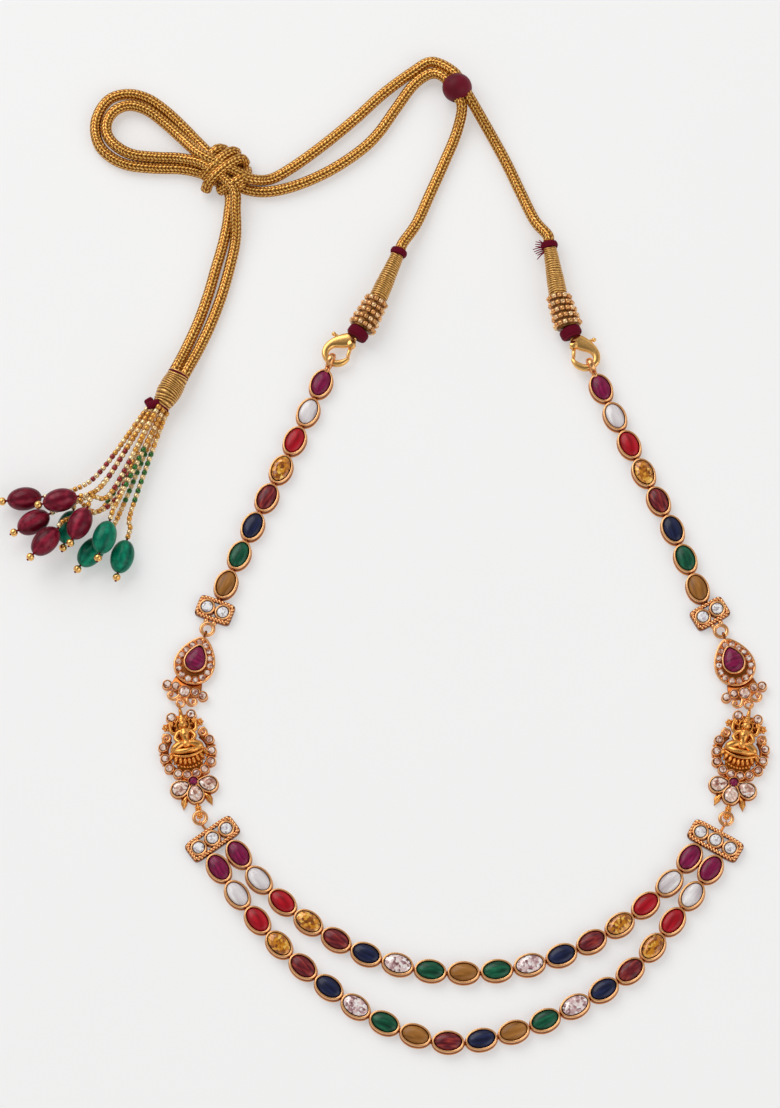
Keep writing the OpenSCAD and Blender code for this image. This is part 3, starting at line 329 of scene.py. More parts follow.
def placed(p, at, turn=0.0, z=0.0):
    """Points turned about Z and moved to a place on the plan."""
    a = np.radians(turn)
    m = np.array([[np.cos(a), -np.sin(a), 0], [np.sin(a), np.cos(a), 0], [0, 0, 1]])
    return p @ m.T + np.array([at[0], at[1], z])


def laid(p, at, turn, z):
    """A shape made round Z, laid along a direction on the plan with its foot at a place."""
    x, y, h = p[..., 0], p[..., 1], p[..., 2]
    d, u = direction(turn), up_of(turn)
    return np.stack([at[0] + h * d[0] + y * u[0], at[1] + h * d[1] + y * u[1], z - x], axis=-1)


def lathe(profile, sides):
    """A profile of (radius, height) rows turned round Z: x is radius by cosine, y is radius by sine."""
    profile = np.asarray(profile, float)
    a = np.linspace(0, 2 * np.pi, sides, endpoint=False)
    r, h = profile[:, :1], profile[:, 1:]
    return np.stack([r * np.cos(a), r * np.sin(a), np.broadcast_to(h, (len(profile), sides))], axis=-1)


def torus(r, wire, sides=20, round_sides=8, squash=1.0):
    """A ring: a small circle carried round a large one."""
    u = np.linspace(0, 2 * np.pi, sides, endpoint=False)[:, None]
    v = np.linspace(0, 2 * np.pi, round_sides, endpoint=False)[None, :]
    reach = r + wire * np.cos(v)
    return np.stack([reach * np.cos(u), reach * np.sin(u), 0 * u - squash * wire * np.sin(v)], axis=-1)


def path_frames(path):
    """Directions along, beside and above each point of a path, with beside always level."""
    t = unit(np.gradient(path, axis=0))
    side = unit(np.cross([0.0, 0.0, 1.0], t))
    return t, side, np.cross(t, side)


def tube(path, radius, sides, relief=0.0):
    """A ring of points carried along a path, and its UVs: the distance along, and the share of a turn. relief adds
    to the radius, by one value or one for each point."""
    _, side, up = path_frames(path)
    a = np.linspace(0, 2 * np.pi, sides, endpoint=False)[None, :]
    r = np.zeros((len(path), sides)) + np.reshape(np.asarray(radius, float), (-1, 1)) + relief
    p = path[:, None] + r[..., None] * (np.cos(a)[..., None] * side[:, None] + np.sin(a)[..., None] * up[:, None])
    return p, np.stack(np.broadcast_arrays(distances(path)[:, None], a / (2 * np.pi)), axis=-1)


def add_ring(b, r, wire, at, z, turn=0.0, upright=False, tint=0.2, sides=24, round_sides=10, squash=1.0):
    """A ring lying flat, or standing upright along the turn. squash widens its wire along the ring's own axis."""
    p = torus(r, wire, sides, round_sides, squash)
    if upright:
        p = np.stack([p[..., 0], -p[..., 2], p[..., 1]], axis=-1)
    b.grid(placed(p, at, turn, z), loop=True, tint=tint)


def add_egg(b, at, rx, ry, rz, turn=0.0, tint=0.1, rows=8, sides=14):
    """A half circle turned round Z, then stretched by its own amount on each axis and turned."""
    a = np.linspace(-1.45, 1.45, rows)
    p = lathe(np.column_stack([np.cos(a), np.sin(a)]), sides) * [rx, ry, rz]
    b.grid(placed(p, at[:2], turn, at[2]), tint=tint)


def add_ball(b, at, r, rows=8, sides=12, tint=0.1):
    """An egg that is as broad as it is high."""
    add_egg(b, at, r, r, r, 0.0, tint, rows, sides)


def add_granules(b, at, reach, turns, r, rows=7, sides=10):
    """Balls of radius r round a place, one at each turn in degrees, all at the place's height."""
    for x, y in np.asarray(at[:2]) + reach * direction(turns).T:
        add_ball(b, [x, y, at[2]], r, rows, sides)


def add_limb(b, rows, sides=12, tint=0.1):
    """A tube on a smooth line through a few points, each with its radius as a fourth number, with a ball at both
    ends."""
    path = smooth(rows, 6)
    p, uv = tube(path[:, :3], path[:, 3], sides)
    b.grid(p, uv=uv, tint=tint)
    for row in (rows[0], rows[-1]):
        add_ball(b, row[:3], row[3] * 1.02, tint=tint)


def add_rod(b, first, last, r, tint=0.3):
    """A straight limb of one radius."""
    add_limb(b, [[*first, r], [*((np.array(first) + last) / 2), r], [*last, r]], 10, tint)


print("a lathe of 4 rows and 12 sides has the shape", lathe(np.ones((4, 2)), 12).shape)

# %% [markdown]
# Stones and their settings share an outline: an oval, or a pear with its tip along +Y. A setting is a profile
# carried round the outline, offset inwards by the profile's first number. A domed stone is the outline shrunk
# along a quarter circle. A cut stone has flat triangles between rings that are each turned by half a step.

# %% Outlines, settings and stones
def oval(x, y, t):
    """x by cosine and y by sine."""
    return np.stack([x * np.cos(t), y * np.sin(t)], axis=-1)


def pear(x, y, t):
    """A circle of radius x below, and above it a tip at height y, narrowed as it rises."""
    s = np.sin(t)
    up = s > 0
    return np.stack([x * np.cos(t) * np.where(up, 1 - 0.35 * s**2, 1), np.where(up, y, x) * s], axis=-1)


def stacked(outline, rows, sides, zigzag=False):
    """Rings of the outline. rows are X size, Y size and height. zigzag turns every second ring by half a step."""
    x, y, z = np.asarray(rows, float).T[..., None]
    step = np.arange(sides) + (np.arange(len(x)) % 2)[:, None] * (0.5 if zigzag else 0.0)
    xy = outline(x, y, step * 2 * np.pi / sides)
    return np.concatenate([xy, np.broadcast_to(z[..., None], (*xy.shape[:2], 1))], axis=-1)


# offset inwards, 1 where the height counts from the rim and 0 from the foot, height, and tint, from the foot up
# and in, drawn for a wall of PROFILE_WALL
PROFILE_WALL = 0.45
SETTING_PROFILE = np.array([
    [0.5, 0, 0.0, 0.8], [0.0, 0, 0.04, 0.5], [-0.12, 0, 0.2, 0.2], [-0.1, 0, 0.45, 0.15], [0.06, 0, 0.7, 0.8],
    [0.07, 1, -0.85, 0.8], [0.0, 1, -0.6, 0.4], [-0.01, 1, -0.35, 0.1], [0.06, 1, -0.1, 0.0], [0.2, 1, 0.0, 0.0],
    [0.33, 1, -0.06, 0.05], [0.41, 1, -0.22, 0.55], [0.45, 1, -0.6, 1.0],
])


def add_setting(b, outline, x, y, height, wall, sides=48, shade=1.0):
    """A rounded rim on a wall, closed below. Its tints paint highlights on the rim and on the flange at the foot,
    and painted shade in the wall's groove and in a dark line inside the rim, which shade makes lighter.
    """
    offset, from_rim, z, tint = SETTING_PROFILE.T
    inwards = offset * wall / PROFILE_WALL
    rows = np.column_stack([x - inwards, y - inwards, from_rim * height + z])
    # tints from the profile: painted highlights on rim and flange, painted shade in the groove and inside the rim
    b.grid(stacked(outline, rows, sides), tint=shade * tint)


def add_dome(b, outline, x, y, z, height, mark=0, steps=9, sides=32):
    """A cabochon: a short wall, then the outline shrunk by a cosine as it rises by a sine. mark shifts its
    streaks."""
    a = np.linspace(0, 1.5, steps)
    shrink = np.cos(a) ** 0.8
    dome = np.column_stack([x * shrink, y * shrink, z + height * (0.3 + 0.7 * np.sin(a))])
    p = stacked(outline, np.vstack([[0.96 * x, 0.96 * y, z], dome]), sides)
    b.grid(p, uv=p[..., :2] + [13.7 * mark, 7.3 * mark])


def add_cut(b, outline, x, y, z, height, sides=16):
    """A cut stone: pavilion, girdle, two rows of crown facets and a table."""
    shares = [[0.35, 0.0], [1.0, 0.5], [0.99, 0.62], [0.8, 0.86], [0.56, 1.0]]
    p = stacked(outline, [[x * s, y * s, z + height * h] for s, h in shares], sides, zigzag=True)
    k = np.arange(sides)
    m = (k + 1) % sides
    faces = []
    for i in range(len(shares) - 1):
        low, high = i * sides, (i + 1) * sides
        if i % 2:
            faces += list(zip(low + k, low + m, high + m)) + list(zip(low + k, high + m, high + k))
        else:
            faces += list(zip(low + k, low + m, high + k)) + list(zip(low + m, high + m, high + k))
    faces += [tuple(k[::-1]), tuple((len(shares) - 1) * sides + k)]
    b.raw(p.reshape(-1, 3), faces)


print("a setting has", len(SETTING_PROFILE), "profile points")

# %% [markdown]
# ## Materials
# Each finish starts from what the real one is. One helper adds a shader node with its settings and its inputs.
# A piece carries a `tint` value at each point. On metal it says how deep a place lies and darkens it there, partly
# as the finish's real patina and partly as painted shade, and low tints on rims and crests are a painted
# highlight. On thread it paints a highlight on the crests and painted shade between strands and turns, and on
# beads it chooses between colours. Object coordinates are in metres, so a pattern of so many millimetres has a
# scale of 1000 divided by them.

# %% Colours and shader nodes
def linear(code):
    """An sRGB hex colour as linear values, which Blender's shaders use."""
    c = np.array([int(code[k : k + 2], 16) for k in (1, 3, 5)]) / 255
    return (*np.where(c <= 0.04045, c / 12.92, ((c + 0.055) / 1.055) ** 2.4).tolist(), 1.0)


def add(tree, kind, inputs=None, stops=(), **settings):
    """Adds a node, whose kind is its type without the words ShaderNode. settings are its own fields, and inputs
    are values, or sockets of other nodes, by name or number. stops are a colour ramp's places and colours."""
    made = tree.nodes.new("ShaderNode" + kind)
    for key, value in settings.items():
        setattr(made, key, value)
    for key, value in (inputs or {}).items():
        if isinstance(value, bpy.types.NodeSocket):
            tree.links.new(value, made.inputs[key])
        else:
            made.inputs[key].default_value = value
    while stops and len(made.color_ramp.elements) < len(stops):
        made.color_ramp.elements.new(1.0)
    for k, (place, colour) in enumerate(stops):
        element = made.color_ramp.elements[k]
        element.position, element.color = place, linear(colour)
    return made


def blank(name):
    """A new material and its empty node tree."""
    material = bpy.data.materials.new(name)
    material.use_nodes = True
    material.node_tree.nodes.clear()
    return material, material.node_tree


def shaded(material, inputs):
    """Ends a material: the shader, with values and links on its own sockets, goes to the output."""
    tree = material.node_tree
    shader = add(tree, "BsdfPrincipled", inputs)
    add(tree, "OutputMaterial", {"Surface": shader.outputs["BSDF"]})
    return material


def shifted_tint(tree, pattern, amount, middle=0.5):
    """The tint of a point moved by a pattern: the pattern less its middle, times an amount, plus the tint."""
    tint = add(tree, "Attribute", attribute_name="tint").outputs["Fac"]
    offset = add(tree, "Math", {0: pattern, 1: -middle}, operation="ADD").outputs[0]
    return add(tree, "Math", {0: offset, 1: amount, 2: tint}, operation="MULTIPLY_ADD").outputs[0]


def even_stops(colours):
    """Colours at even places from 0 to 1."""
    return list(zip(np.linspace(0, 1, len(colours)).tolist(), colours))


print("linear of #808080: %.3f" % linear("#808080")[0])

# %% [markdown]
# ### Gold plate on cast brass
# The settings are cast brass with a thin matte gold plate, darkened in the hollows and rubbed bright on the rims,
# which is called an antique finish. The tint of a point takes it from bright to dark: the dark in hollows and
# grooves is partly that real patina and partly painted shade, and the bright on rims is partly rubbing and partly
# a painted highlight. Fine noise gives the grain of the casting, and larger noise makes the plate uneven in colour
# and gloss.


# %% Antique gold plate
def antique_gold_with_painted_shade(name, bright, middle, dark, roughness, grain_mm, bump, patch_mm=1.6):
    """Metal whose colour goes from bright to dark with the tint, in uneven patches: patina with painted shade
    where it is dark, and a painted highlight where it is bright. The real grain is about 0.05 mm and wouldn't
    show, so it is drawn several times as coarse."""
    material, tree = blank(name)
    where = add(tree, "TexCoord").outputs["Object"]
    patches = add(tree, "TexNoise", {"Vector": where, "Scale": 1000 / patch_mm, "Detail": 3.0}).outputs["Fac"]
    grain = add(tree, "TexNoise", {"Vector": where, "Scale": 1000 / grain_mm, "Detail": 2.0}).outputs["Fac"]
    # the ramp by tint paints patina and shade in the hollows, and a highlight on the rims
    colour = add(tree, "ValToRGB", {"Fac": shifted_tint(tree, patches, 0.45)},
                 [(0.0, bright), (0.45, middle), (1.0, dark)]).outputs["Color"]
    rough = add(tree, "MapRange", {0: patches, 3: roughness - 0.08, 4: roughness + 0.1}).outputs[0]
    normal = add(tree, "Bump", {"Strength": bump, "Distance": 0.00006, "Height": grain}).outputs["Normal"]
    return shaded(material, {"Base Color": colour, "Roughness": rough, "Metallic": 1.0, "Normal": normal})


# gold with much copper in it, matted by its bath: rims nearly orange-pink, their brightest parts a painted
# highlight, and hollows brown, partly patina and partly painted shade
COPPER_GOLD = antique_gold_with_painted_shade("copper_toned_gold_plate", "#FFC286", "#C27034", "#421402", 0.22, 0.35, 0.16)
# yellower matte gold on the figures, whose rougher casting scatters the light more
FIGURE_GOLD = antique_gold_with_painted_shade("matte_yellow_gold_plate", "#F8B462", "#B26620", "#401602", 0.25, 0.3, 0.25)
# smooth pale gold of the clasps, polished by tumbling: soft broad highlights and hardly any grain
CLASP_GOLD = antique_gold_with_painted_shade("tumbled_pale_gold_plate", "#FFC97C", "#D49848", "#6A360A", 0.22, 0.8, 0.05)
print("gold finishes:", COPPER_GOLD.name, FIGURE_GOLD.name, CLASP_GOLD.name)

# %% [markdown]
# ### Cabochons
# A cabochon is a domed stone with no facets. These are dyed or painted stone and glass: the light goes a little
# way in, and the polish gives one soft highlight. A streaky noise drawn out along the stone keeps each from
# being one flat colour.


# %% Domed stones
def cabochon(name, light, base, dark, roughness, streak_mm=1.1, coat=0.12):
    """Polished stone: three shades mixed by a noise that is drawn out along the stone, whose UVs are in mm."""
    material, tree = blank(name)
    uv = add(tree, "TexCoord").outputs["UV"]
    where = add(tree, "Mapping", {"Vector": uv, "Scale": (0.35, 1.6, 1.0)}).outputs["Vector"]
    streak = add(tree, "TexNoise", {"Vector": where, "Scale": 1 / streak_mm, "Detail": 3.0}).outputs["Fac"]
    colour = add(tree, "ValToRGB", {"Fac": streak}, [(0.28, dark), (0.5, base), (0.74, light)])
    return shaded(material, {
        "Base Color": colour.outputs["Color"], "Roughness": roughness, "Specular IOR Level": 0.25,
        "Coat Weight": coat, "Coat Roughness": 0.12,
    })


STONES = {
    # quartz dyed purple-red, a little milky
    "ruby": cabochon("dyed_ruby_cabochon", "#A22460", "#7E1242", "#520A2C", 0.26),
    # shell polished until its layers shine through: pale, glossy and cloudy
    "pearl": cabochon("mother_of_pearl_cabochon", "#FFFDFC", "#DAD2D4", "#A4949A", 0.12, 3.0, 0.7),
    # opaque glass in a dense warm red
    "coral": cabochon("coral_red_cabochon", "#C4182A", "#AA0C1E", "#800612", 0.28, 1.8),
    # brown-red stone with lighter veins
    "garnet": cabochon("garnet_brown_cabochon", "#B04436", "#722028", "#3A1018", 0.24),
    # nearly black blue, which the light hardly enters
    "sapphire": cabochon("navy_sapphire_cabochon", "#28345E", "#191F40", "#0D1126", 0.28, 1.6),
    # quartz dyed deep green
    "emerald": cabochon("dyed_emerald_cabochon", "#1C7450", "#0E5038", "#063022", 0.28, 1.5),
    # brown fibrous stone, whose fibres throw the light back in a broad pale band
    "cats_eye": cabochon("brown_cats_eye_cabochon", "#BC8246", "#A0692C", "#784A1A", 0.34, 2.2),
}
print("domed kinds:", len(STONES))

# %% [markdown]
# ### Cut stones over foil
# The amber and clear stones are cut glass, closed behind with foil. Each facet shows another bit of the foil, so
# light and dark patches lie side by side. Here those patches are painted reflections and painted shade: cells
# about as large as a facet, with a colour each, give that sparkle the same from every side, and a polished coat
# gives the glass on top.


# %% Foiled glass
def foiled_glass_painted_sparkle(name, colours, cell_mm, metallic):
    """Cut glass over foil: cells of bright and dark colour, which are painted reflections and shade, each at a
    slant of its own, under a clear coat.
    """
    material, tree = blank(name)
    where = add(tree, "TexCoord").outputs["Object"]
    cells = add(tree, "TexVoronoi", {"Vector": where, "Scale": 1000 / cell_mm, "Randomness": 1.0})
    pick = add(tree, "SeparateColor", {"Color": cells.outputs["Color"]}).outputs["Red"]
    # the cells' colours paint the facets' reflections and shade
    colour = add(tree, "ValToRGB", {"Fac": pick}, even_stops(colours)).outputs["Color"]
    tilt = add(tree, "Bump", {"Strength": 0.5, "Distance": 0.0003, "Height": pick}).outputs["Normal"]
    return shaded(material, {
        "Base Color": colour, "Roughness": 0.12, "Metallic": metallic, "IOR": 1.6, "Coat Weight": 0.5,
        "Coat Roughness": 0.03, "Normal": tilt,
    })


# amber glass, from brown shade to a yellow glint
AMBER = ["#7E3E04", "#A85C06", "#CC7C0A", "#E8981A", "#FFD060"]
STONES["citrine"] = foiled_glass_painted_sparkle("foiled_amber_glass", AMBER, 0.75, 0.15)
# clear glass, with painted reflections of the rose and brown gold round it
CLEAR = ["#7E5052", "#BC8E92", "#E8CCCC", "#FFEFEA", "#FFFFFF"]
STONES["crystal"] = foiled_glass_painted_sparkle("foiled_clear_glass", CLEAR, 0.65, 0.1)
# the bars' larger crystals over silver foil: white, with small grey facets of painted reflection
BAR_CRYSTAL = foiled_glass_painted_sparkle("foiled_chaton_crystal", ["#A89CA0", "#E8E4EA", "#FFFFFF", "#FFFFFF"], 0.5, 0.0)
# the small crystals of drops and plaques, sunk in copper-toned rims whose painted reflection reddens them
ROSE_CRYSTAL = foiled_glass_painted_sparkle("crystal_painted_rose_reflection", ["#8A4E40", "#D29E8A", "#F6D6C4", "#FFF8F2"], 0.6, 0.15)
print("stones:", ", ".join(STONES))

# %% [markdown]
# ### Thread, cord and beads
# Zari is thread wound with flat gold wire. Braided into a cord it shows a herringbone of bright strands with brown
# gaps between them: here a painted highlight on each strand's crest and painted shade in the gaps. The tint holds
# that pattern: 0 on a strand's crest and 1 in a gap. Silk thread is finer and matt, so it shows hardly more than
# its colour and the painted shade between its turns.


# %% Thread and cord
def zari(name, crest, base, gap, fleck_mm=0.32, wire_mm=0.22):
    """Gold thread: a painted highlight on the crest and painted shade in the gaps, and fine noise that moves the
    colour, partly as painted glints. Glints where the wire turns come from a bump: the wire's own turns are about
    0.1 mm apart and are drawn twice as coarse, so that they show."""
    material, tree = blank(name)
    where = add(tree, "TexCoord").outputs["Object"]
    fleck = add(tree, "TexNoise", {"Vector": where, "Scale": 1000 / fleck_mm, "Detail": 2.0}).outputs["Fac"]
    wire = add(tree, "TexNoise", {"Vector": where, "Scale": 1000 / wire_mm, "Detail": 1.0}).outputs["Fac"]
    # the ramp by tint paints a highlight on the crests and shade in the gaps
    colour = add(tree, "ValToRGB", {"Fac": shifted_tint(tree, fleck, 1.1)},
                 [(0.0, crest), (0.33, base), (0.85, gap)]).outputs["Color"]
    normal = add(tree, "Bump", {"Strength": 0.5, "Distance": 0.0001, "Height": wire}).outputs["Normal"]
    return shaded(material, {"Base Color": colour, "Roughness": 0.27, "Metallic": 0.65, "Normal": normal})


def silk(name, light, dark, fibre_mm=0.2):
    """Dull thread, with painted shade between its turns. Its fibres are finer than a render shows, and are drawn
    at 0.2 mm.
    """
    material, tree = blank(name)
    where = add(tree, "TexCoord").outputs["Object"]
    fibre = add(tree, "TexNoise", {"Vector": where, "Scale": 1000 / fibre_mm, "Detail": 2.0}).outputs["Fac"]
    colour = add(tree, "ValToRGB", {"Fac": shifted_tint(tree, fibre, 0.5, 0.0)}, [(0.1, light), (1.0, dark)])
    normal = add(tree, "Bump", {"Strength": 0.6, "Distance": 0.0001, "Height": fibre}).outputs["Normal"]
    return shaded(material, {
        "Base Color": colour.outputs["Color"], "Roughness": 0.75, "Specular IOR Level": 0.12, "Normal": normal,
    })


# braided from fresh thread: bright yellow crests with deep gaps, a painted highlight and painted shade
ZARI_CORD = zari("braided_zari_cord", "#FFE08C", "#EAA43C", "#703204")
# the same thread wound tightly, which is duller and browner
ZARI_WINDING = zari("wound_zari_thread", "#F4C274", "#BC8434", "#572C08")
# matt maroon silk, with painted shade nearly black between its turns
MAROON_SILK = silk("maroon_silk_thread", "#84082C", "#3C0010")
print("threads:", ZARI_CORD.name, ZARI_WINDING.name, MAROON_SILK.name)

# %% [markdown]
# Seed beads are tiny cut tubes of glass, lined with silver or copper, so each throws a glint. The long beads of
# the tassel are pressed glass: the red ones are streaked through, and the green ones are matted and shine softly.
# The sliding bead is plain satin glass.


# %% Glass beads
def seed_glass(name, colours, roughness, bead_mm=1.2):
    """Lined glass: the tint chooses the colour, and noise as large as a bead makes some lighter than others."""
    material, tree = blank(name)
    tint = add(tree, "Attribute", attribute_name="tint").outputs["Fac"]
    where = add(tree, "TexCoord").outputs["Object"]
    vary = add(tree, "TexNoise", {"Vector": where, "Scale": 1000 / bead_mm, "Detail": 1.0}).outputs["Fac"]
    vary = add(tree, "MapRange", {0: vary, 1: 0.3, 2: 0.7, 3: 0.72, 4: 1.15}).outputs[0]
    colour = add(tree, "ValToRGB", {"Fac": tint}, even_stops(colours)).outputs["Color"]
    colour = add(tree, "VectorMath", {0: colour, 1: vary}, operation="MULTIPLY").outputs[0]
    return shaded(material, {
        "Base Color": colour, "Roughness": roughness, "Metallic": 0.7, "Coat Weight": 0.6, "Coat Roughness": 0.06,
    })


def pressed_glass(name, light, base, dark, cloud_mm=1.4):
    """Pressed glass: the tint holds streaks along the bead, and noise makes them cloudy."""
    material, tree = blank(name)
    where = add(tree, "TexCoord").outputs["Object"]
    cloud = add(tree, "TexNoise", {"Vector": where, "Scale": 1000 / cloud_mm, "Detail": 3.0}).outputs["Fac"]
    colour = add(tree, "ValToRGB", {"Fac": shifted_tint(tree, cloud, 0.7)},
                 [(0.15, dark), (0.5, base), (0.9, light)]).outputs["Color"]
    return shaded(material, {
        "Base Color": colour, "Roughness": 0.28, "Specular IOR Level": 0.18, "Coat Weight": 0.04,
        "Coat Roughness": 0.1,
    })


def satin_glass(name, light, dark, cloud_mm=5.0, matting_mm=0.4):
    """Etched glass of one colour, a little cloudy, with no polish. The etching is drawn coarser than it is."""
    material, tree = blank(name)
    where = add(tree, "TexCoord").outputs["Object"]
    cloud = add(tree, "TexNoise", {"Vector": where, "Scale": 1000 / cloud_mm, "Detail": 2.0}).outputs["Fac"]
    etch = add(tree, "TexNoise", {"Vector": where, "Scale": 1000 / matting_mm, "Detail": 1.0}).outputs["Fac"]
    colour = add(tree, "ValToRGB", {"Fac": cloud}, [(0.3, dark), (0.7, light)]).outputs["Color"]
    normal = add(tree, "Bump", {"Strength": 0.08, "Distance": 0.0001, "Height": etch}).outputs["Normal"]
    return shaded(material, {"Base Color": colour, "Roughness": 0.5, "Specular IOR Level": 0.2, "Normal": normal})


# the tassel's seed beads by tint: gold, green, red and pale gold, each with a hard bright glint; outside the bands
# the pale gold beads are painted glints
SEED_BEADS = seed_glass("silver_lined_seed_beads", ["#E8A642", "#24701C", "#961410", "#FFDCA0"], 0.15)
# the collars' seed beads, whose copper lining turns them orange, with paler ones between as painted glints
COLLAR_BEADS = seed_glass("copper_lined_seed_beads", ["#E09848", "#FFD49C"], 0.16)
# wine-red glass with lighter and nearly black streaks
RED_GLASS = pressed_glass("streaked_red_pressed_glass", "#B03048", "#6C0C24", "#400412")
# green glass that is matted, so that its streaks look soft
GREEN_GLASS = pressed_glass("satin_green_pressed_glass", "#12AC80", "#007056", "#004032")
# the sliding bead: even maroon with a broad dim highlight
MAROON_BEAD = satin_glass("satin_maroon_bead", "#7A0A26", "#5C041A")
print("beads:", SEED_BEADS.name, COLLAR_BEADS.name, RED_GLASS.name, GREEN_GLASS.name, MAROON_BEAD.name)

# %% [markdown]
# ## The cord
# Two round braids leave the sleeves at the nape, pass side by side through the sliding bead, make a bow knot with
# one loop of both cords, and hang on as two tails to the tassel's head. Each cord is one tube along its whole
# route, so that its real length is there, and the knot is made of crossing stretches of the same braid. A round
# braid shows columns of V-shaped stitches: `braid` gives the height of the surface as a product of two waves, one
# along the cord that leans left and right in turn from column to column, and one across each column.

# %% Routes in millimetres
TASSEL_HEAD, TASSEL_TURN, TASSEL_Z = np.array([-75.05, 49.1]), 243, 3.35
TASSEL_L, TASSEL_D = 11.0, 6.6
CORD_SPACING = 1.45
LEFT_ROUTE = [
    [-12, 92.2, 2.1], [-8.4, 100.8, 1.5], [-4.6, 109.8, 1.5], [-1.2, 118.4, 2], [0.2, 125.4, 4], [-2.3, 129.8, 4],
    [-4.5, 133.6, 3.9], [-8, 135.2, 2.6], [-12.6, 132.5, 1.5], [-17.4, 125.6, 1.5], [-22.2, 118.4, 1.5],
    [-27, 113.4, 1.5], [-34.7, 107.9, 1.5], [-43, 103.8, 1.5], [-50.4, 101.7, 1.5], [-56, 101.8, 1.5],
    [-60, 103.6, 2], [-67.2, 111.6, 2.4], [-70.6, 115.5, 1.8], [-75, 120.4, 1.5], [-79.6, 124.9, 1.5],
    [-84.2, 128.2, 1.5], [-89.2, 129.6, 1.5], [-94, 128.5, 1.5], [-97, 125, 1.5], [-98.3, 120.2, 1.5],
    [-97.3, 115.2, 1.5], [-94.2, 111.6, 1.5], [-89.4, 109.2, 1.5], [-82.4, 108.3, 1.5], [-74.6, 108, 1.5],
    [-68.4, 106.2, 1.6], [-62.4, 101.6, 1.6], [-62.3, 94.6, 1.5], [-63.6, 87, 1.5], [-65.6, 79.4, 1.5],
    [-67.6, 71.8, 1.5], [-70.2, 64, 1.5], [-73.2, 56.8, 1.8],
]
RIGHT_ROUTE = [
    [19.6, 93, 2.2], [16.1, 100.8, 1.5], [12.1, 109.8, 1.5], [8.2, 117.4, 1.8], [2.7, 126.9, 4], [0.2, 131.2, 4],
    [-2, 135.1, 3.9], [-7.8, 138.5, 2.6], [-13.2, 135.9, 1.5], [-21, 129.7, 1.5], [-28.7, 122.2, 1.5],
    [-37.5, 114.5, 1.5], [-45.7, 108.2, 1.5], [-51.4, 105, 1.6], [-56.4, 104.3, 3.7], [-59.6, 105.8, 4.4],
    [-67, 109.4, 5], [-71.2, 112.2, 4.4], [-75.4, 116.8, 2.7], [-79.4, 120.8, 2.2], [-84.2, 124.6, 2.2],
    [-89, 126.1, 2.2], [-92.9, 124.7, 2.2], [-95.1, 121.4, 2.2], [-95, 117.6, 2.3], [-92.6, 114.2, 2.8],
    [-88.2, 111.7, 2.9], [-82, 110.9, 2.9], [-75, 110.5, 2.9], [-68.6, 108.3, 3.9], [-61.2, 101.6, 4.4],
    [-60.4, 95, 3.7], [-60.4, 87.5, 1.9], [-62, 79.4, 1.5], [-64, 71.8, 1.5], [-66.7, 64, 1.5], [-69.8, 56.8, 1.8],
]
# stretches that cross on the knot, from the topmost down
KNOT_STRETCHES = [
    [[-57.9, 109.2, 2.2], [-59.2, 109.9, 4.2], [-62.4, 107.9, 5.2], [-65.4, 105.3, 5.1], [-67.6, 103.2, 3.7],
     [-68.4, 101.9, 1.8]],
    [[-60.2, 112.4, 2.0], [-61.6, 112, 4.0], [-64.4, 109.8, 4.9], [-67, 107.2, 4.5], [-69.2, 105.2, 2.4]],
    [[-63.4, 113.4, 1.7], [-65.2, 113, 3.4], [-67.2, 111.2, 3.4], [-68.8, 109.2, 1.9]],
    [[-57.6, 107.8, 1.7], [-57.6, 106, 3.3], [-59.4, 103.9, 4.4], [-62.2, 102.4, 4.0], [-64.8, 101.6, 2.0]],
    [[-57.7, 104.2, 1.8], [-59.8, 102.7, 2.6], [-61.6, 101.4, 2.2]],
]
# the knot's hidden middle: where it is, and its rows of radius and height
KNOT_MIDDLE = [-63, 107.2]
KNOT_CORE = [[0.3, 0.15], [3.2, 0.2], [4.4, 0.9], [4.8, 2.0], [4.4, 3.2], [3.0, 4.0], [0.3, 4.3]]
# how much the braid stands outside the cord's solid, its depth, the length of a stitch, columns and sides
BRAID_FULLER, BRAID_DEPTH, BRAID_STITCH, BRAID_COLUMNS, BRAID_SIDES = 0.12, 0.16, 1.0, 10, 50


def cord_route(i, points, side):
    """From the sleeve on end i, through the points, to its side of the tassel's head."""
    start_at, along = end_places(i)["cord"], direction(ENDS[i][4])
    first = [[*(start_at + out * along), SLEEVE_Z] for out in (0, 2)]
    down, across = direction(TASSEL_TURN), up_of(TASSEL_TURN)
    head = TASSEL_HEAD + side * CORD_SPACING * across
    last = [[*(head - (out + PIECE_GAP) * down), TASSEL_Z] for out in (2, 0)]
    return resample(smooth(first + points + last, 12), 0.18)


def braid(s, a):
    """Height of a round braid from 0 to 1 at distance s and angle a: a wave along the cord that leans one way in
    even columns and the other in odd ones, times a wave across each column. Two slow waves keep it uneven."""
    column = a / (2 * np.pi) * BRAID_COLUMNS
    across = column - np.floor(column)
    lean = np.where(np.floor(column) % 2 == 0, across, 1 - across)
    loose = 0.1 * np.sin(1.7 * s + 2 * a) + 0.12 * np.sin(0.63 * s - a)
    wave = np.abs(np.cos(np.pi * (s / BRAID_STITCH + 0.9 * lean + loose)))
    return wave**0.7 * np.sin(np.pi * across) ** 0.3


def add_braid(b, path):
    """A braided cord along a path: the braid's height stands on a core, and its gaps are tinted as painted shade,
    leaving a painted highlight on the crests.
    """
    a = np.linspace(0, 2 * np.pi, BRAID_SIDES, endpoint=False)[None, :]
    height = braid(distances(path)[:, None], a)
    p, uv = tube(path, CORD_D / 2 + BRAID_FULLER, BRAID_SIDES, BRAID_DEPTH * (height - 1))
    # tint: painted shade in the gaps, painted highlight on the crests
    b.grid(p, uv=uv, tint=1.15 * (1 - height) ** 0.9)


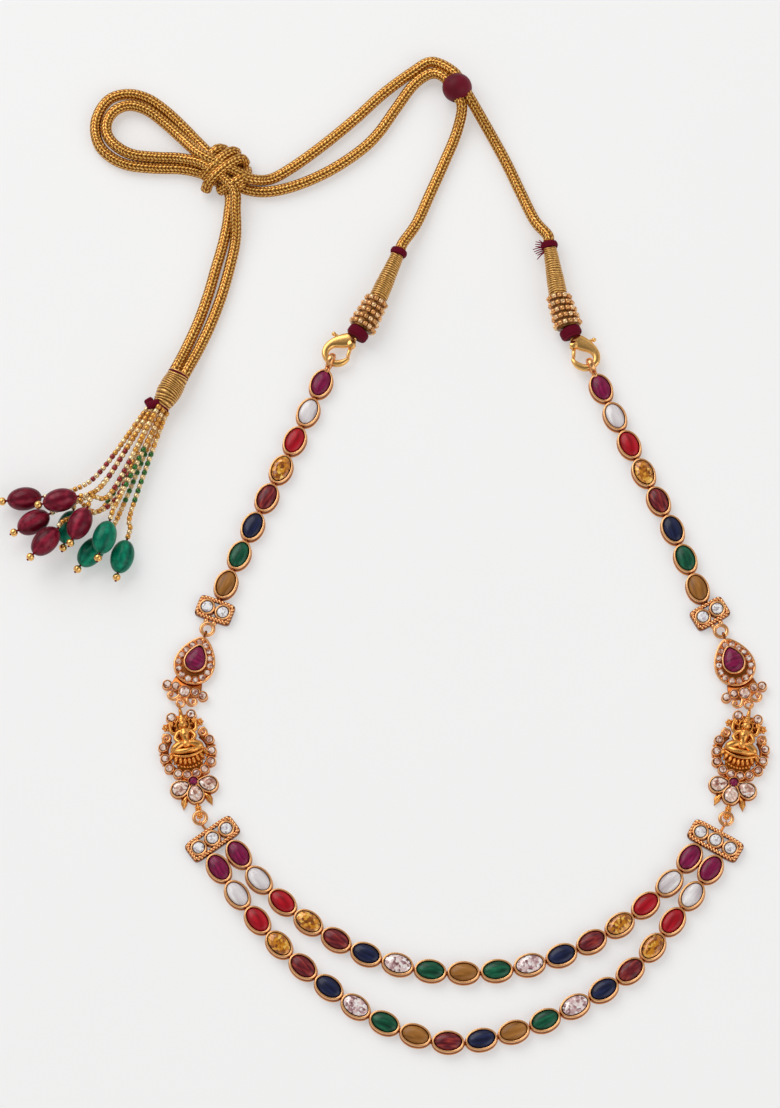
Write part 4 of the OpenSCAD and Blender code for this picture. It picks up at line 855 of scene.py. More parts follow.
cord_pieces, routes = {}, {}
for i, (name, points, side) in enumerate([("left", LEFT_ROUTE, -1), ("right", RIGHT_ROUTE, 1)]):
    routes[name] = cord_route(i, points, side)
    builder = Builder()
    add_braid(builder, routes[name])
    cord_pieces[name] = builder.make("zari_cord_" + name, ZARI_CORD, "zari_cord", "cord_" + name)
    print("%s cord: %.1f mm along its middle" % (name, distances(routes[name])[-1]))

# %% [markdown]
# In the knot both cords pass over and under each other. Only the outer crossings show, so they are laid as short
# stretches of the same braid, each bent down at its ends, over a low rounded core in shade.

# %% The bow knot
builder = Builder()
for stretch in KNOT_STRETCHES:
    add_braid(builder, resample(smooth(stretch, 12), 0.22))
builder.grid(placed(lathe(KNOT_CORE, 32), KNOT_MIDDLE), tint=0.9)
knot = builder.make("bow_knot", ZARI_CORD, "zari_cord", "cord_knot")

# %% [markdown]
# The sliding bead keeps its solid, which already has the ball and the two bores. The tassel's head is wound with
# gold thread over both ends of the cord. A wound sleeve is a lathe whose radius is a row of small half circles,
# one for each turn of thread, and the turns climb by one pitch in a round, as thread does.


# %% Wound thread
def add_winding(b, profile, at, turn, z, pitch, depth, sides=40, per_turn=6, wander=0.0):
    """A lathe laid along a direction, whose profile of (radius, height) rows carries a helical thread. The radius
    is lowered between the turns by depth, and the tint rises there as painted shade. wander makes the turns cross
    at a slant."""
    profile = np.asarray(profile, float)
    rows = int((profile[-1, 1] - profile[0, 1]) / pitch * per_turn)
    h = np.linspace(profile[0, 1], profile[-1, 1], rows)
    p = lathe(np.column_stack([np.interp(h, profile[:, 1], profile[:, 0]), h]), sides)
    a = np.linspace(0, 1, sides, endpoint=False)[None, :]
    h = h[:, None]
    drift = wander * (np.sin(2 * np.pi * a + 0.8 * h) + 0.4 * np.sin(4 * np.pi * a - 1.9 * h))
    crest = np.abs(np.sin(np.pi * ((h + drift) / pitch + a)))
    radius = np.linalg.norm(p[..., :2], axis=-1)
    shrink = 1 - depth * (1 - crest) / np.maximum(radius, depth)
    p[..., :2] *= shrink[..., None]
    # the tint paints shade between the turns
    b.grid(laid(p, at, turn, z), tint=(1 - crest) * 0.9)


def rounded_profile(r, length, bend):
    """A disc's profile with rounded edges."""
    return [[r - bend, 0], [r - 0.3 * bend, 0.3 * bend], [r, bend], [r, length - bend],
            [r - 0.3 * bend, length - 0.3 * bend], [r - bend, length]]


# shares of the head's radius and length, from the cord down
HEAD_SECTIONS = [[0.87, 0], [0.9, 0.05], [1, 0.33], [1, 0.55], [0.86, 0.78], [0.7, 0.95], [0.66, 1]]
builder = Builder()
head_profile = np.array(HEAD_SECTIONS) * [TASSEL_D / 2, TASSEL_L]
add_winding(builder, head_profile, TASSEL_HEAD, TASSEL_TURN, TASSEL_Z, 0.7, 0.3, 60, 9, 0.34)
tassel_head = builder.make("tassel_head", ZARI_WINDING, "zari_cord", "tassel_sleeve")

# the small knot of thread beside the head's foot, its upper lobe, and a band at each end of the head
down = direction(TASSEL_TURN)
knot_at = TASSEL_HEAD + (TASSEL_L - 1) * down - 3.7 * up_of(TASSEL_TURN)
builder = Builder()
# middle, turn and height, then radius, length and rounding, then the thread's pitch and depth, and sides
for middle, turn, z, r, length, bend, pitch, depth, sides in (
    (knot_at, TASSEL_TURN - 30, 1.6, 1.1, 2.4, 0.5, 0.4, 0.1, 24),
    (knot_at + [1.2, -2.0], 20, 5.2, 1.15, 3.6, 0.6, 0.4, 0.12, 24),
    (TASSEL_HEAD + 0.425 * down, TASSEL_TURN, TASSEL_Z, 2.98, 0.65, 0.25, 0.32, 0.08, 40),
    (TASSEL_HEAD + (TASSEL_L - 0.425) * down, TASSEL_TURN, TASSEL_Z, 2.42, 0.65, 0.25, 0.32, 0.08, 40),
):
    start_at = middle - length / 2 * direction(turn)
    add_winding(builder, rounded_profile(r, length, bend), start_at, turn, z, pitch, depth, sides)
tassel_tie = builder.make("tassel_thread_knot", MAROON_SILK, "maroon_thread", "tassel_tie")

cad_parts["slide_bead"].data.materials.clear()
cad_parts["slide_bead"].data.materials.append(MAROON_BEAD)

# %% [markdown]
# Each cord's real length is measured along its whole route, and each ends in the tassel's head.

print("cords made")

# %% [markdown]
# ## Sleeves, collars and ties
# Each end of the cord goes into a thread-wound sleeve between two maroon ties. All three are windings, each on a
# profile of its own. The right upper tie is frayed: a fan of short loose threads stands out on its inner side.

# %% Sleeves and ties
# shares of the radius and of the length, from the collar to the cord
SLEEVE_SECTIONS = [[0.9, 0], [1, 0.04], [0.96, 0.35], [0.82, 0.7], [0.74, 1]]


def add_frayed_threads(b, at, turn, r):
    """Nine short limbs in a fan, each rising from the tie's side and falling again, some higher than others."""
    for k in range(9):
        way, lift = direction(turn + 40 + 10 * k), 0.12 * (5 * k % 7)
        root = at + r * way
        add_limb(b, [[*(root - 0.5 * way), SLEEVE_Z, 0.2], [*(root + 0.9 * way), SLEEVE_Z + lift, 0.18],
                     [*(root + (1.9 + lift) * way), SLEEVE_Z - lift, 0.12]], 6, 0.0)


for i, name in enumerate(("left", "right")):
    places, tie, sleeve = end_places(i), ENDS[i][2], ENDS[i][4]
    # piece, start, turn, length, diameter, the thread's pitch and depth, and the rounding of its edges
    for piece, at, turn, length, d, pitch, depth, bend in (
        ("sleeve", places["sleeve"], sleeve, SLEEVE_L, SLEEVE_D, 0.62, 0.26, 0),
        ("top_tie", places["top_tie"], sleeve, TOP_TIE_T, TOP_TIE_D, 0.4, 0.11, 0.7),
        ("bottom_tie", places["tie"] - TIE_T / 2 * direction(tie), tie, TIE_T, TIE_D, 0.45, 0.13, 0.7),
    ):
        builder = Builder()
        if piece == "sleeve":
            sections, finish = np.array(SLEEVE_SECTIONS) * [d / 2, length], (ZARI_WINDING, "zari_cord")
        else:
            sections, finish = rounded_profile(d / 2, length, bend), (MAROON_SILK, "maroon_thread")
        add_winding(builder, sections, at, turn, SLEEVE_Z, pitch, depth, wander=0.2 if piece == "sleeve" else 0.0)
        if (name, piece) == ("right", "top_tie"):
            add_frayed_threads(builder, at, turn, 0.4 * d)
        builder.make("%s_wound_%s" % (name, piece), *finish, "%s_%s" % (name, piece))

# %% [markdown]
# Below each sleeve is a collar of seed beads in five rows, each a little slanted, on a core of thread that shows
# between them, tinted dark brown as painted shade. One bead is a lathe with its hole along the row. The collar is
# an oval cone, and one function gives the point at a share of its length and an angle, so the rows are placed from
# their index and angle.


# %% Collars of seed beads
COLLAR_ROWS, COLLAR_BEAD, COLLAR_PITCH, SLANT = 5, 0.68, 1.3, 0.022
SEED_HALF = 0.58


def seed_bead(r):
    """A small bead of radius r with round shoulders and its hole along Z."""
    profile = [[0.42, -1], [0.8, -1], [1, -0.45], [1, 0.45], [0.8, 1], [0.42, 1]]
    return lathe(np.array(profile) * [r, SEED_HALF], 10)


def oriented(p, at, along):
    """A shape made round Z, turned so that Z points along a direction in space."""
    along = unit(np.asarray(along, float))
    side = unit(np.cross([0.0, 0.0, 1.0], along)) if abs(along[2]) < 0.99 else np.array([1.0, 0.0, 0.0])
    return p[..., :1] * side + p[..., 1:2] * np.cross(along, side) + p[..., 2:] * along + np.asarray(at, float)


def collar_place(i, share, a, inside):
    """A point on the collar's oval cone, which narrows and turns a little from the tie to the sleeve: cosine of
    the angle times the half-breadth across, and sine times the half-height up, less a depth inside the surface."""
    at, along = end_places(i)["collar"], direction(ENDS[i][3])
    across = up_of(ENDS[i][3] + share * (ENDS[i][4] - ENDS[i][3]))
    breadth = (COLLAR_D / 2 * (1 - 0.17 * share) - inside) * np.cos(a)
    middle_z = SLEEVE_Z + 0.45 * (1 - share)
    x, y = (at[k] + share * COLLAR_L * along[k] + breadth * across[k] for k in (0, 1))
    return np.stack([x, y, middle_z + (middle_z - 0.05 - inside) * np.sin(a)], axis=-1)


for i, name in enumerate(("left", "right")):
    builder, core = Builder(), Builder()
    angles = np.linspace(0, 2 * np.pi, 40, endpoint=False)[None, :]
    share = np.linspace(0, 1, 61)[:, None]
    depth = 0.76 + 0.3 * np.abs(np.cos(np.pi * COLLAR_ROWS * share))
    # the core's dark tint is painted shade between the beads
    core.grid(collar_place(i, 0.01 + 0.98 * share, angles, depth), tint=0.75)
    fine = np.linspace(0, 2 * np.pi, 200)
    for row in range(COLLAR_ROWS):
        middle = (row + 0.5) / COLLAR_ROWS
        reach = distances(collar_place(i, middle, fine, COLLAR_BEAD))
        count = int(reach[-1] / COLLAR_PITCH)
        for k in range(count):
            a = np.interp((k + 0.5 * (row % 2)) / count * reach[-1], reach, fine)
            leaning = middle + SLANT * np.cos(a - 0.6)
            spot, beyond = (collar_place(i, leaning, a + step, COLLAR_BEAD) for step in (0.0, 0.05))
            # two beads in five are pale: painted glints
            pale = (k * 7 + row * 3) % 5 < 2
            builder.grid(oriented(seed_bead(COLLAR_BEAD), spot, beyond - spot), tint=0.9 if pale else 0.2)
    builder.make(name + "_collar_beads", COLLAR_BEADS, "seed_beads", name + "_bead_collar")
    core.make(name + "_collar_core", ZARI_WINDING, "zari_cord")

# %% [markdown]
# ## Lobster clasps
# The claw is cast: a broad tail that narrows into a hook round the opening. Its middle line is a short table with
# a width at each point, and its section is an ellipse. The lever is a second casting on a pin: one arm closes the
# hook, and the other carries a small ball for the thumbnail. Each lever rides on a body of its own.

# %% Claws and levers
PIVOT = np.array([0.97, 4.3])
NUB_TURN, NUB_REACH, GATE_TURN, GATE_L, ARM_START = 194.8, 5.6, -58, 3.55, 0.3
# X and Y in the clasp's frame, half width and half thickness
CLAW = [
    [-0.1, 6.0, 1.35, 0.9], [-0.3, 5.2, 1.8, 1.0], [-0.8, 4.1, 2.0, 1.0], [-1.55, 2.9, 1.85, 1.0],
    [-2.3, 1.6, 1.5, 1.0], [-2.72, 0.2, 1.2, 1.0], [-2.62, -1.3, 1.05, 1.0], [-1.9, -2.5, 0.95, 0.98],
    [-0.7, -3.1, 0.88, 0.95], [0.7, -3.1, 0.86, 0.92], [1.95, -2.5, 0.92, 0.9], [2.9, -1.3, 0.88, 0.88],
    [3.3, -0.1, 0.7, 0.85], [3.32, 0.8, 0.55, 0.75], [3.2, 1.2, 0.4, 0.6],
]
# half width and half thickness along the thumb's arm and along the arm that closes the hook, from the pin outwards
NUB_WIDTHS = [[0.42, 0.38], [0.42, 0.38], [0.4, 0.38], [0.4, 0.36], [0.42, 0.36]]
GATE_WIDTHS = [[0.5, 0.4], [0.5, 0.5], [0.52, 0.85], [0.52, 0.92], [0.46, 0.85]]
# radius and height of the cheek and rivet over the lever's pin, and of the lever's own eye
CHEEK = [[0.2, 0.55], [1.0, 0.55], [1.12, 0.65], [1.12, 0.9], [0.98, 1.02], [0.5, 1.06], [0.42, 1.12], [0.1, 1.14]]
LEVER_EYE = [[0.5, -0.42], [1.0, -0.4], [1.0, 0.4], [0.5, 0.42]]
# half sizes and height of the shank that goes from the claw's tail, at SHANK_Y, to the tie
SHANK = [[0.75, 0.75, -0.6], [0.85, 0.85, -0.3], [0.85, 0.85, 1.0], [0.7, 0.7, 1.2]]
SHANK_Y = 6.0


def flat_claw(rows, side, sides=28):
    """A closed loft along a line on the plan. Its section at each point is an ellipse of its own width and
    thickness, filled out at the corners by a superellipse of power 3."""
    path = smooth(np.asarray(rows, float) * [side, 1, 1, 1], 5)
    xy = np.column_stack([path[:, :2], np.zeros(len(path))])
    _, across, up = path_frames(xy)
    a = np.linspace(0, 2 * np.pi, sides, endpoint=False)[None, :, None]
    c, s = np.cos(a), np.sin(a)
    square = (np.abs(c) ** 3 + np.abs(s) ** 3) ** (-1 / 3)
    width, height = path[:, 2, None, None], path[:, 3, None, None]
    return xy[:, None] + square * (c * width * across[:, None] + s * height * up[:, None])


def arm(turn, reach, widths):
    """A lever's arm from near its pin outwards, as rows for flat_claw."""
    out = np.linspace(ARM_START, reach, len(widths))[:, None]
    return np.column_stack([PIVOT + out * direction(turn), widths])


for i, name in enumerate(("left", "right")):
    at, turn, side = end_places(i)["clasp"], ENDS[i][5] - 90, ENDS[i][8]
    pin = [*(PIVOT * [side, 1]), 0]
    builder = Builder().here(at, turn, CLASP_Z)
    builder.grid(flat_claw(CLAW, side), tint=0.12)
    cheek = lathe(CHEEK, 28)
    builder.grid(cheek + pin, tint=0.1)
    builder.grid(cheek[::-1] * [1, 1, -1] + pin, tint=0.1)
    shank = stacked(oval, SHANK, 20)
    builder.grid(np.stack([shank[..., 0], shank[..., 2] + SHANK_Y, -shank[..., 1]], axis=-1), tint=0.2)
    builder.make(name + "_claw", CLASP_GOLD, "clasp_gold", name + "_clasp", sharp=50)

    builder = Builder().here(at, turn, CLASP_Z)
    builder.grid(flat_claw(arm(NUB_TURN, NUB_REACH, NUB_WIDTHS), side), tint=0.1)
    builder.grid(flat_claw(arm(GATE_TURN, GATE_L, GATE_WIDTHS), side), tint=0.1)
    tip = (PIVOT + NUB_REACH * direction(NUB_TURN)) * [side, 1]
    add_ball(builder, [*tip, 0], 0.62, 10, 18, 0.05)
    builder.grid(lathe(LEVER_EYE, 24) + pin, tint=0.2)
    builder.make(name + "_lever_arms", CLASP_GOLD, "clasp_gold", name + "_clasp_lever", name + "_lever", 50)

# %% [markdown]
# ## Oval settings and their stones
# The chains are rows of closed oval settings, each with an eye at both ends: a flat ring at its start passes
# through an upright ring at the end of the one before. The stones come in a fixed order, the nine kinds of a
# traditional set. Seven kinds are domed, and the amber and clear ones are cut.

# %% Settings, eyes and stones
NINE_GEMS = ["ruby", "pearl", "coral", "citrine", "garnet", "sapphire", "crystal", "emerald", "cats_eye"]
UPPER_GEMS = [gem for gem in NINE_GEMS if gem != "crystal"]
GEMS = {
    "left_upper_chain": UPPER_GEMS,
    "right_upper_chain": UPPER_GEMS,
    "inner_strand": NINE_GEMS + NINE_GEMS[-2::-1],
    "outer_strand": NINE_GEMS + ["garnet", "sapphire", "cats_eye"] + NINE_GEMS[-2::-1],
}
CUT_GEMS = ("citrine", "crystal")
RIM_W, STONE_GAP, SEAT_Z, STONE_RISE = 0.62, 0.1, 1.6, 0.6
EYE_R, EYE_WIRE, EYE_Z, EYE_BACK = 0.5, 0.18, 0.75, 0.25
# the large ring of an upper chain, in its clasp: radius, wire, and how many times as high its wire is
BAIL_R, BAIL_WIRE, BAIL_SQUASH = 1.85, 0.42, 1.9
# the neck between that ring and the first link: distance from the ring's middle, height and radius
BAIL_NECK = [[1.75, 2.1, 0.62], [2.2, 1.9, 0.78], [2.75, 1.6, 0.9]]


def link_joints(first, rows, last):
    """X, Y and turn of the joints before, between and after the links."""
    half = np.linalg.norm(rows[1, :2] - rows[0, :2]) / 2
    a = rows[:-1, :2] + half * direction(rows[:-1, 2]).T
    b = rows[1:, :2] - half * direction(rows[1:, 2]).T
    between = np.column_stack([(a + b) / 2, (rows[:-1, 2] + rows[1:, 2]) / 2])
    return np.vstack([[*first, rows[0, 2]], between, [*last, rows[-1, 2]]])


def add_eye(b, at, turn, upright, sign):
    """An eye beside a joint. sign is -1 for the eye of the piece before it, and 1 for the one after."""
    middle = np.asarray(at[:2]) + sign * EYE_BACK * direction(turn)
    add_ring(b, EYE_R, EYE_WIRE, middle, EYE_Z, turn, upright, 0.45, 16, 8)


stones = {gem: Builder() for gem in STONES}
half_l, half_w = LINK_L / 2, LINK_W / 2
in_l, in_w = half_l - RIM_W - STONE_GAP, half_w - RIM_W - STONE_GAP
stone_z, stone_h = SEAT_Z + STONE_GAP, LINK_H + STONE_RISE - SEAT_Z - STONE_GAP
for chain, rows in CHAINS.items():
    upper = "upper" in chain
    builder = Builder()
    joints = link_joints(CHAIN_ROWS[chain][0], rows, CHAIN_ROWS[chain][2])
    for k, (x, y, turn) in enumerate(rows):
        add_setting(builder.here([x, y], turn), oval, half_l, half_w, LINK_H, RIM_W)
        builder.here([0, 0])
        if k > 0 or not upper:
            add_eye(builder, joints[k, :2], joints[k, 2], False, 1)
        add_eye(builder, joints[k + 1, :2], joints[k + 1, 2], True, -1)
        gem = GEMS[chain][k]
        stone = stones[gem].here([x, y], turn)
        if gem in CUT_GEMS:
            add_cut(stone, oval, in_l, in_w, stone_z, stone_h)
        else:
            add_dome(stone, oval, in_l, in_w, stone_z, stone_h, k)
    if upper:
        i = 0 if chain.startswith("left") else 1
        ring_at, turn = end_places(i)["ring"], ENDS[i][7]
        add_ring(builder, BAIL_R, BAIL_WIRE, ring_at, CLASP_Z, turn, True, 0.15, 40, 16, BAIL_SQUASH)
        add_limb(builder, [[*(ring_at + out * direction(turn)), z, r] for out, z, r in BAIL_NECK], 16, 0.2)
    builder.make(chain + "_settings", COPPER_GOLD, "copper_gold", chain)
for gem, builder in stones.items():
    kind, sharp = ("_cut", 1) if gem in CUT_GEMS else ("_cabochons", None)
    builder.make(gem + kind, STONES[gem], gem, gem + "_stones", sharp=sharp)

# %% [markdown]
# ## Small settings
# Bars, drops and plaques carry five kinds of round and pear-shaped settings with a cut stone, and two kinds with a
# domed ruby. Two tables hold their sizes, and a function for each puts a setting and its stone at the same spot.


# %% Small settings with their stones
SMALL_SEAT_Z = 1.3
# how far the rim stands outside the stone, its height and wall, its sides and shade, then the stone's height and
# sides
SMALL_KINDS = {
    "bar": (0.7, BAR_H, 0.58, 36, 1.0, 1.2, 12),
    "halo": (0.27, 1.95, 0.24, 20, 0.5, 0.85, 8),
    "drop_foot": (0.42, 2.0, 0.36, 24, 0.6, 0.9, 8),
    "plaque": (0.45, 2.0, 0.38, 24, 0.6, 0.9, 8),
    "plaque_pear": ((0.6, 0.75), 2.0, 0.5, 36, 1.0, 1.1, 12),
}
# outline, the rim's half sizes, height, wall and sides, then the ruby's half sizes, rise, steps and sides
RUBY_KINDS = {
    "drop": (pear, (3.1, 4.9, 2.4, 0.6, 56), (2.5, 4.1), 2.0, 12, 40),
    "plaque": (oval, (1.55, 1.55, 2.2, 0.4, 28), (1.05, 1.05), 1.3, 8, 20),
}


def here_at(b, place, x, y, turn=0.0):
    """Moves a builder to a spot in a piece's own frame, which is given by its place and turn."""
    at, base = place
    return b.here(np.asarray(at) + x * direction(base) + y * up_of(base), base + turn)


def add_gem(metal, cut, place, x, y, kind, size, turn=0.0, outline=oval):
    """A small setting and the cut stone in it, whose half sizes are given. The metal's builder goes back to the
    piece's own frame."""
    outside, height, wall, sides, shade, stone_height, facets = SMALL_KINDS[kind]
    add_setting(here_at(metal, place, x, y, turn), outline, *np.add(size, outside), height, wall, sides, shade)
    add_cut(here_at(cut, place, x, y, turn), outline, *size, SMALL_SEAT_Z + STONE_GAP, stone_height, facets)
    metal.here(*place)


def add_ruby(metal, rubies, place, y, kind, mark):
    """A setting on a piece's middle line and the domed ruby in it, after which the metal's builder goes back."""
    outline, setting, size, rise, steps, sides = RUBY_KINDS[kind]
    add_setting(here_at(metal, place, 0, y), outline, *setting)
    add_dome(here_at(rubies, place, 0, y), outline, *size, SMALL_SEAT_Z + STONE_GAP, rise, mark, steps, sides)
    metal.here(*place)


print("kinds of small settings:", len(SMALL_KINDS) + len(RUBY_KINDS))

# %% [markdown]
# ## Gem bars
# A bar has a frame with a twisted wire rope on it, and a row of round settings inside, with open corners between.
# A rope is two wires, each on a helix round the frame's middle line, half a turn apart. Boxes with rounded corners
# come from a superellipse, whose power makes the sides nearly straight.


# %% Bars
BAR_STONE, BAR_PITCH = 1.45, 4.4
# height of the rings between bars, drops and plaques, and radii of the upright and of the large flat ones
RING_Z, UPRIGHT_RING_R, LARGE_RING_R = 1.2, 0.75, 1.62
# each kind's length, number of stones, and the column of its turn in SIDES
BARS = {"two": (9.8, 2, 2), "three": (14.6, 3, 5)}
# the frame's section: how far in from its outside, height and tint
FRAME_SECTION = np.array([
    [0.1, 0.0, 0.9], [0.0, 0.12, 0.8], [0.0, 1.35, 0.7], [0.12, 1.55, 0.95], [0.8, 1.55, 0.95], [0.9, 1.4, 0.9],
    [0.9, 0.1, 0.9], [0.8, 0.0, 0.9],
])
# the rope's line: how far in and how high it lies, its wires' radius, and the radius and pitch of their twist
ROPE_IN, ROPE_Z, ROPE_WIRE, ROPE_SWING, ROPE_PITCH = 0.55, 1.5, 0.31, 0.29, 1.8


def box_outline(x, y, t, power=7):
    """A superellipse: sine and cosine raised to a small power, so that the corners fill out."""
    c, s = (np.sign(wave) * np.abs(wave) ** (2 / power) for wave in (np.cos(t), np.sin(t)))
    return np.stack([x * c, y * s], axis=-1)


def add_rope(b, loop, sides=10):
    """Two wires twisted round a closed line: each has a painted highlight on its upper side and where it rises,
    and painted shade where it dips.
    """
    path = resample(np.vstack([loop, loop[:1]]), 0.11)
    path = np.column_stack([path, np.full(len(path), ROPE_Z)])
    s = distances(path)
    _, side, up = path_frames(path)
    top = np.sin(np.linspace(0, 2 * np.pi, sides, endpoint=False))[None, :]
    for half_turn in (0, 1):
        a = (2 * np.pi * round(s[-1] / ROPE_PITCH) * s / s[-1] + np.pi * half_turn)[:, None]
        p, uv = tube(path + ROPE_SWING * (np.cos(a) * side + np.sin(a) * up), ROPE_WIRE, sides)
        # the tint paints a highlight where the wire is high and shade where it dips
        b.grid(p, uv=uv, tint=np.clip(0.85 - 0.62 * np.sin(a) - 0.45 * top, 0, 1))


crystals = Builder()
for i, side_name in enumerate(("left", "right")):
    for kind, (length, count, column) in BARS.items():
        place = (side_places(i)[kind], SIDES[i][column])
        builder = Builder().here(*place)
        inwards, z, tint = FRAME_SECTION.T
        rows = np.column_stack([length / 2 - inwards, BAR_W / 2 - inwards, z])
        builder.grid(stacked(box_outline, rows, 72), loop=True, tint=tint)
        t = np.linspace(0, 2 * np.pi, 160, endpoint=False)
        add_rope(builder, box_outline(length / 2 - ROPE_IN, BAR_W / 2 - ROPE_IN, t))
        for k in range(count):
            add_gem(builder, crystals, place, (k - (count - 1) / 2) * BAR_PITCH, 0, "bar", [BAR_STONE, BAR_STONE])
        for end in (-1, 1):
            inner, outer = end * (count * BAR_PITCH / 2 - 0.1), end * (length / 2 - 0.6)
            add_rod(builder, [inner, 0, 1.0], [outer, 0, 1.0], 0.45, 0.6)
        if kind == "two":
            # the eye for the upper chain, and below the large ring for the drop, between two granules
            add_eye(builder, [0, BAR_W / 2 + EDGE_GAP], 90, False, -1)
            ring_at = [0, -BAR_W / 2 - 2.55]
            add_ring(builder, LARGE_RING_R, 0.52, ring_at, RING_Z, tint=0.12, sides=36, round_sides=14)
            for x in (-1.1, 1.1):
                add_ball(builder, [x, -BAR_W / 2 - 0.55, RING_Z], 0.75, 10, 16)
        else:
            # the eyes for both strands, and above the upright ring that hangs in the plaque's
            for x in (-STRAND_X, STRAND_X):
                add_eye(builder, [x, -BAR_W / 2 - EDGE_GAP], -90, i == 0, -1)
            add_ring(builder, UPRIGHT_RING_R, 0.25, [0, BAR_W / 2 + BAR_BELOW_PLAQUE], RING_Z, 90, True)
            add_rod(builder, [0, BAR_W / 2 - 0.5, RING_Z], [0, BAR_W / 2 + 1.4, RING_Z], 0.4)
        bar_name = "%s_%s_stone_bar" % (side_name, kind)
        builder.make(bar_name + "_roped", COPPER_GOLD, "copper_gold", bar_name)
crystals.make("bar_cut_crystals", BAR_CRYSTAL, "crystal", "bar_crystals", sharp=1)

# %% [markdown]
# ## Pear drops
# A drop is a plate with a raised rim, a halo of fifteen small settings round a domed ruby, and a foot with five
# more, two wire curls and a few granules. The halo's settings share the length of a pear curve evenly.


# %% Drops
# the plate, its middle at DROP_Y: half sizes, height and tint, from the foot up and in
DROP_PLATE = np.array([
    [5.0, 7.6, 0, 0.7], [5.2, 7.8, 0.2, 0.6], [5.2, 7.8, 1.35, 0.4], [5.1, 7.7, 1.5, 0.3], [4.9, 7.5, 1.55, 0.5],
    [1, 1.4, 1.55, 0.6],
])
DROP_Y, DROP_RIM, DROP_RIM_R, DROP_RIM_Z = -0.9, (5.12, 7.72), 0.34, 1.5
HALO_COUNT, HALO_STONE, HALO_SIZE = 15, 0.75, (4.15, 6.35)
DROP_FOOT = [[-3.6, -5], [3.6, -5], [4.4, -8.4], [1.4, -9.8], [0, -10.9], [-1.4, -9.8], [-4.4, -8.4]]
# X, Y and the stone's radius of the foot's settings
DROP_BASE_SEATS = [[0, -8.6, 1.3], [-2.7, -7.9, 0.85], [2.7, -7.9, 0.85], [-4.9, -8.2, 0.9], [4.9, -8.2, 0.9]]
# a curl of the right side: X, Y and its wire's radius
DROP_CURL = [
    [1.0, -9.4, 0.42], [1.35, -10.6, 0.52], [2.2, -11.4, 0.52], [3.2, -11.3, 0.5], [3.8, -10.5, 0.46],
    [3.4, -9.75, 0.4], [2.75, -9.85, 0.36],
]
# granules of the right side: X, Y, height over the rings, radius and tint
DROP_GRANULES = [[2.85, -10.5, 0, 0.36, 0.4], [0.62, -10.35, 0.2, 0.42, 0.1], [0.4, -11.15, 0.1, 0.38, 0.1]]


def add_plate(b, polygon, thickness, tint=0.6, edge=0.15):
    """A flat plate from an anticlockwise polygon, with its top edge cut back a little."""
    xy = np.asarray(polygon, float)
    middle = xy.mean(axis=0)
    inner = middle + (xy - middle) * (1 - edge / np.linalg.norm(xy - middle, axis=1, keepdims=True))
    n, k = len(xy), np.arange(len(xy))
    m = (k + 1) % n
    layers = ((xy, 0.0), (xy, thickness - edge), (inner, thickness))
    faces = [tuple(k[::-1]), tuple(2 * n + k)]
    for low in (0, n):
        faces += list(zip(low + k, low + m, low + n + m, low + n + k))
    b.raw(np.vstack([np.column_stack([p, np.full(n, z)]) for p, z in layers]), faces, tint)


def even_round(outline, x, y, count):
    """Places that share an outline's length evenly."""
    path = outline(x, y, np.linspace(0, 2 * np.pi, 241))
    s = distances(path)
    at = (np.arange(count) + 0.5) / count * s[-1]
    return np.column_stack([np.interp(at, s, path[:, 0]), np.interp(at, s, path[:, 1])])


rubies = Builder()
for i, side_name in enumerate(("left", "right")):
    place = (side_places(i)["drop"], SIDES[i][3])
    builder, crystals = Builder(), Builder()
    here_at(builder, place, 0, DROP_Y)
    builder.grid(stacked(pear, DROP_PLATE[:, :3], 60), tint=DROP_PLATE[:, 3])
    rim = pear(*DROP_RIM, np.linspace(0, 2 * np.pi, 90))
    p, uv = tube(np.column_stack([rim, np.full(len(rim), DROP_RIM_Z)]), DROP_RIM_R, 12)
    builder.grid(p, uv=uv, tint=0.05)
    for x, y in even_round(pear, *HALO_SIZE, HALO_COUNT):
        add_gem(builder, crystals, place, x, y + DROP_Y, "halo", [HALO_STONE, HALO_STONE])
    add_ruby(builder, rubies, place, 0, "drop", i)
    add_plate(builder, DROP_FOOT, 1.0)
    for x, y, r in DROP_BASE_SEATS:
        add_gem(builder, crystals, place, x, y, "drop_foot", [r, r])
    # the upright ring at the top with its neck, and the flat ring at the foot with its rod
    add_ring(builder, UPRIGHT_RING_R, 0.33, [0, DROP_TOP], RING_Z, 90, True, 0.75)
    add_limb(builder, [[0, 5.9, RING_Z, 0.6], [0, 6.7, RING_Z, 0.5], [0, 7.3, RING_Z, 0.36]], 12, 0.2)
    foot_y = DROP_TOP - DROP_L + 1.0
    add_ring(builder, 1.02, 0.36, [0, foot_y], RING_Z, tint=0.15, sides=30, round_sides=12)
    add_rod(builder, [0, -9.9, 0.9], [0, foot_y + 1, RING_Z], 0.42)
    for side in (-1, 1):
        add_limb(builder, [[side * x, y, RING_Z, r] for x, y, r in DROP_CURL][::side], 12)
        for x, y, z, r, tint in DROP_GRANULES:
            add_ball(builder, [side * x, y, RING_Z + z], r, tint=tint)
    drop = side_name + "_drop"
    builder.make(drop + "_casting", COPPER_GOLD, "copper_gold", drop, sharp=60)
    crystals.make(drop + "_cut_crystals", ROSE_CRYSTAL, "crystal", drop + "_crystals", sharp=1)
rubies.make("drop_ruby_cabochons", STONES["ruby"], "ruby", "drop_rubies")

# %% [markdown]
# ## Figure plaques
# Each plaque is cast with a seated goddess on a lotus, as is usual on temple jewellery: crossed legs, four arms,
# a tall crown, and lotus buds in the raised hands. The figure is cast in yellow gold with its back plate, leaves
# and rosettes, and the arch of settings round it is in the redder gold of the chains, with three pear crystals
# and a ruby below. The body is made of limbs, each a tube with its own radius at every point, and the face is a
# plain egg.


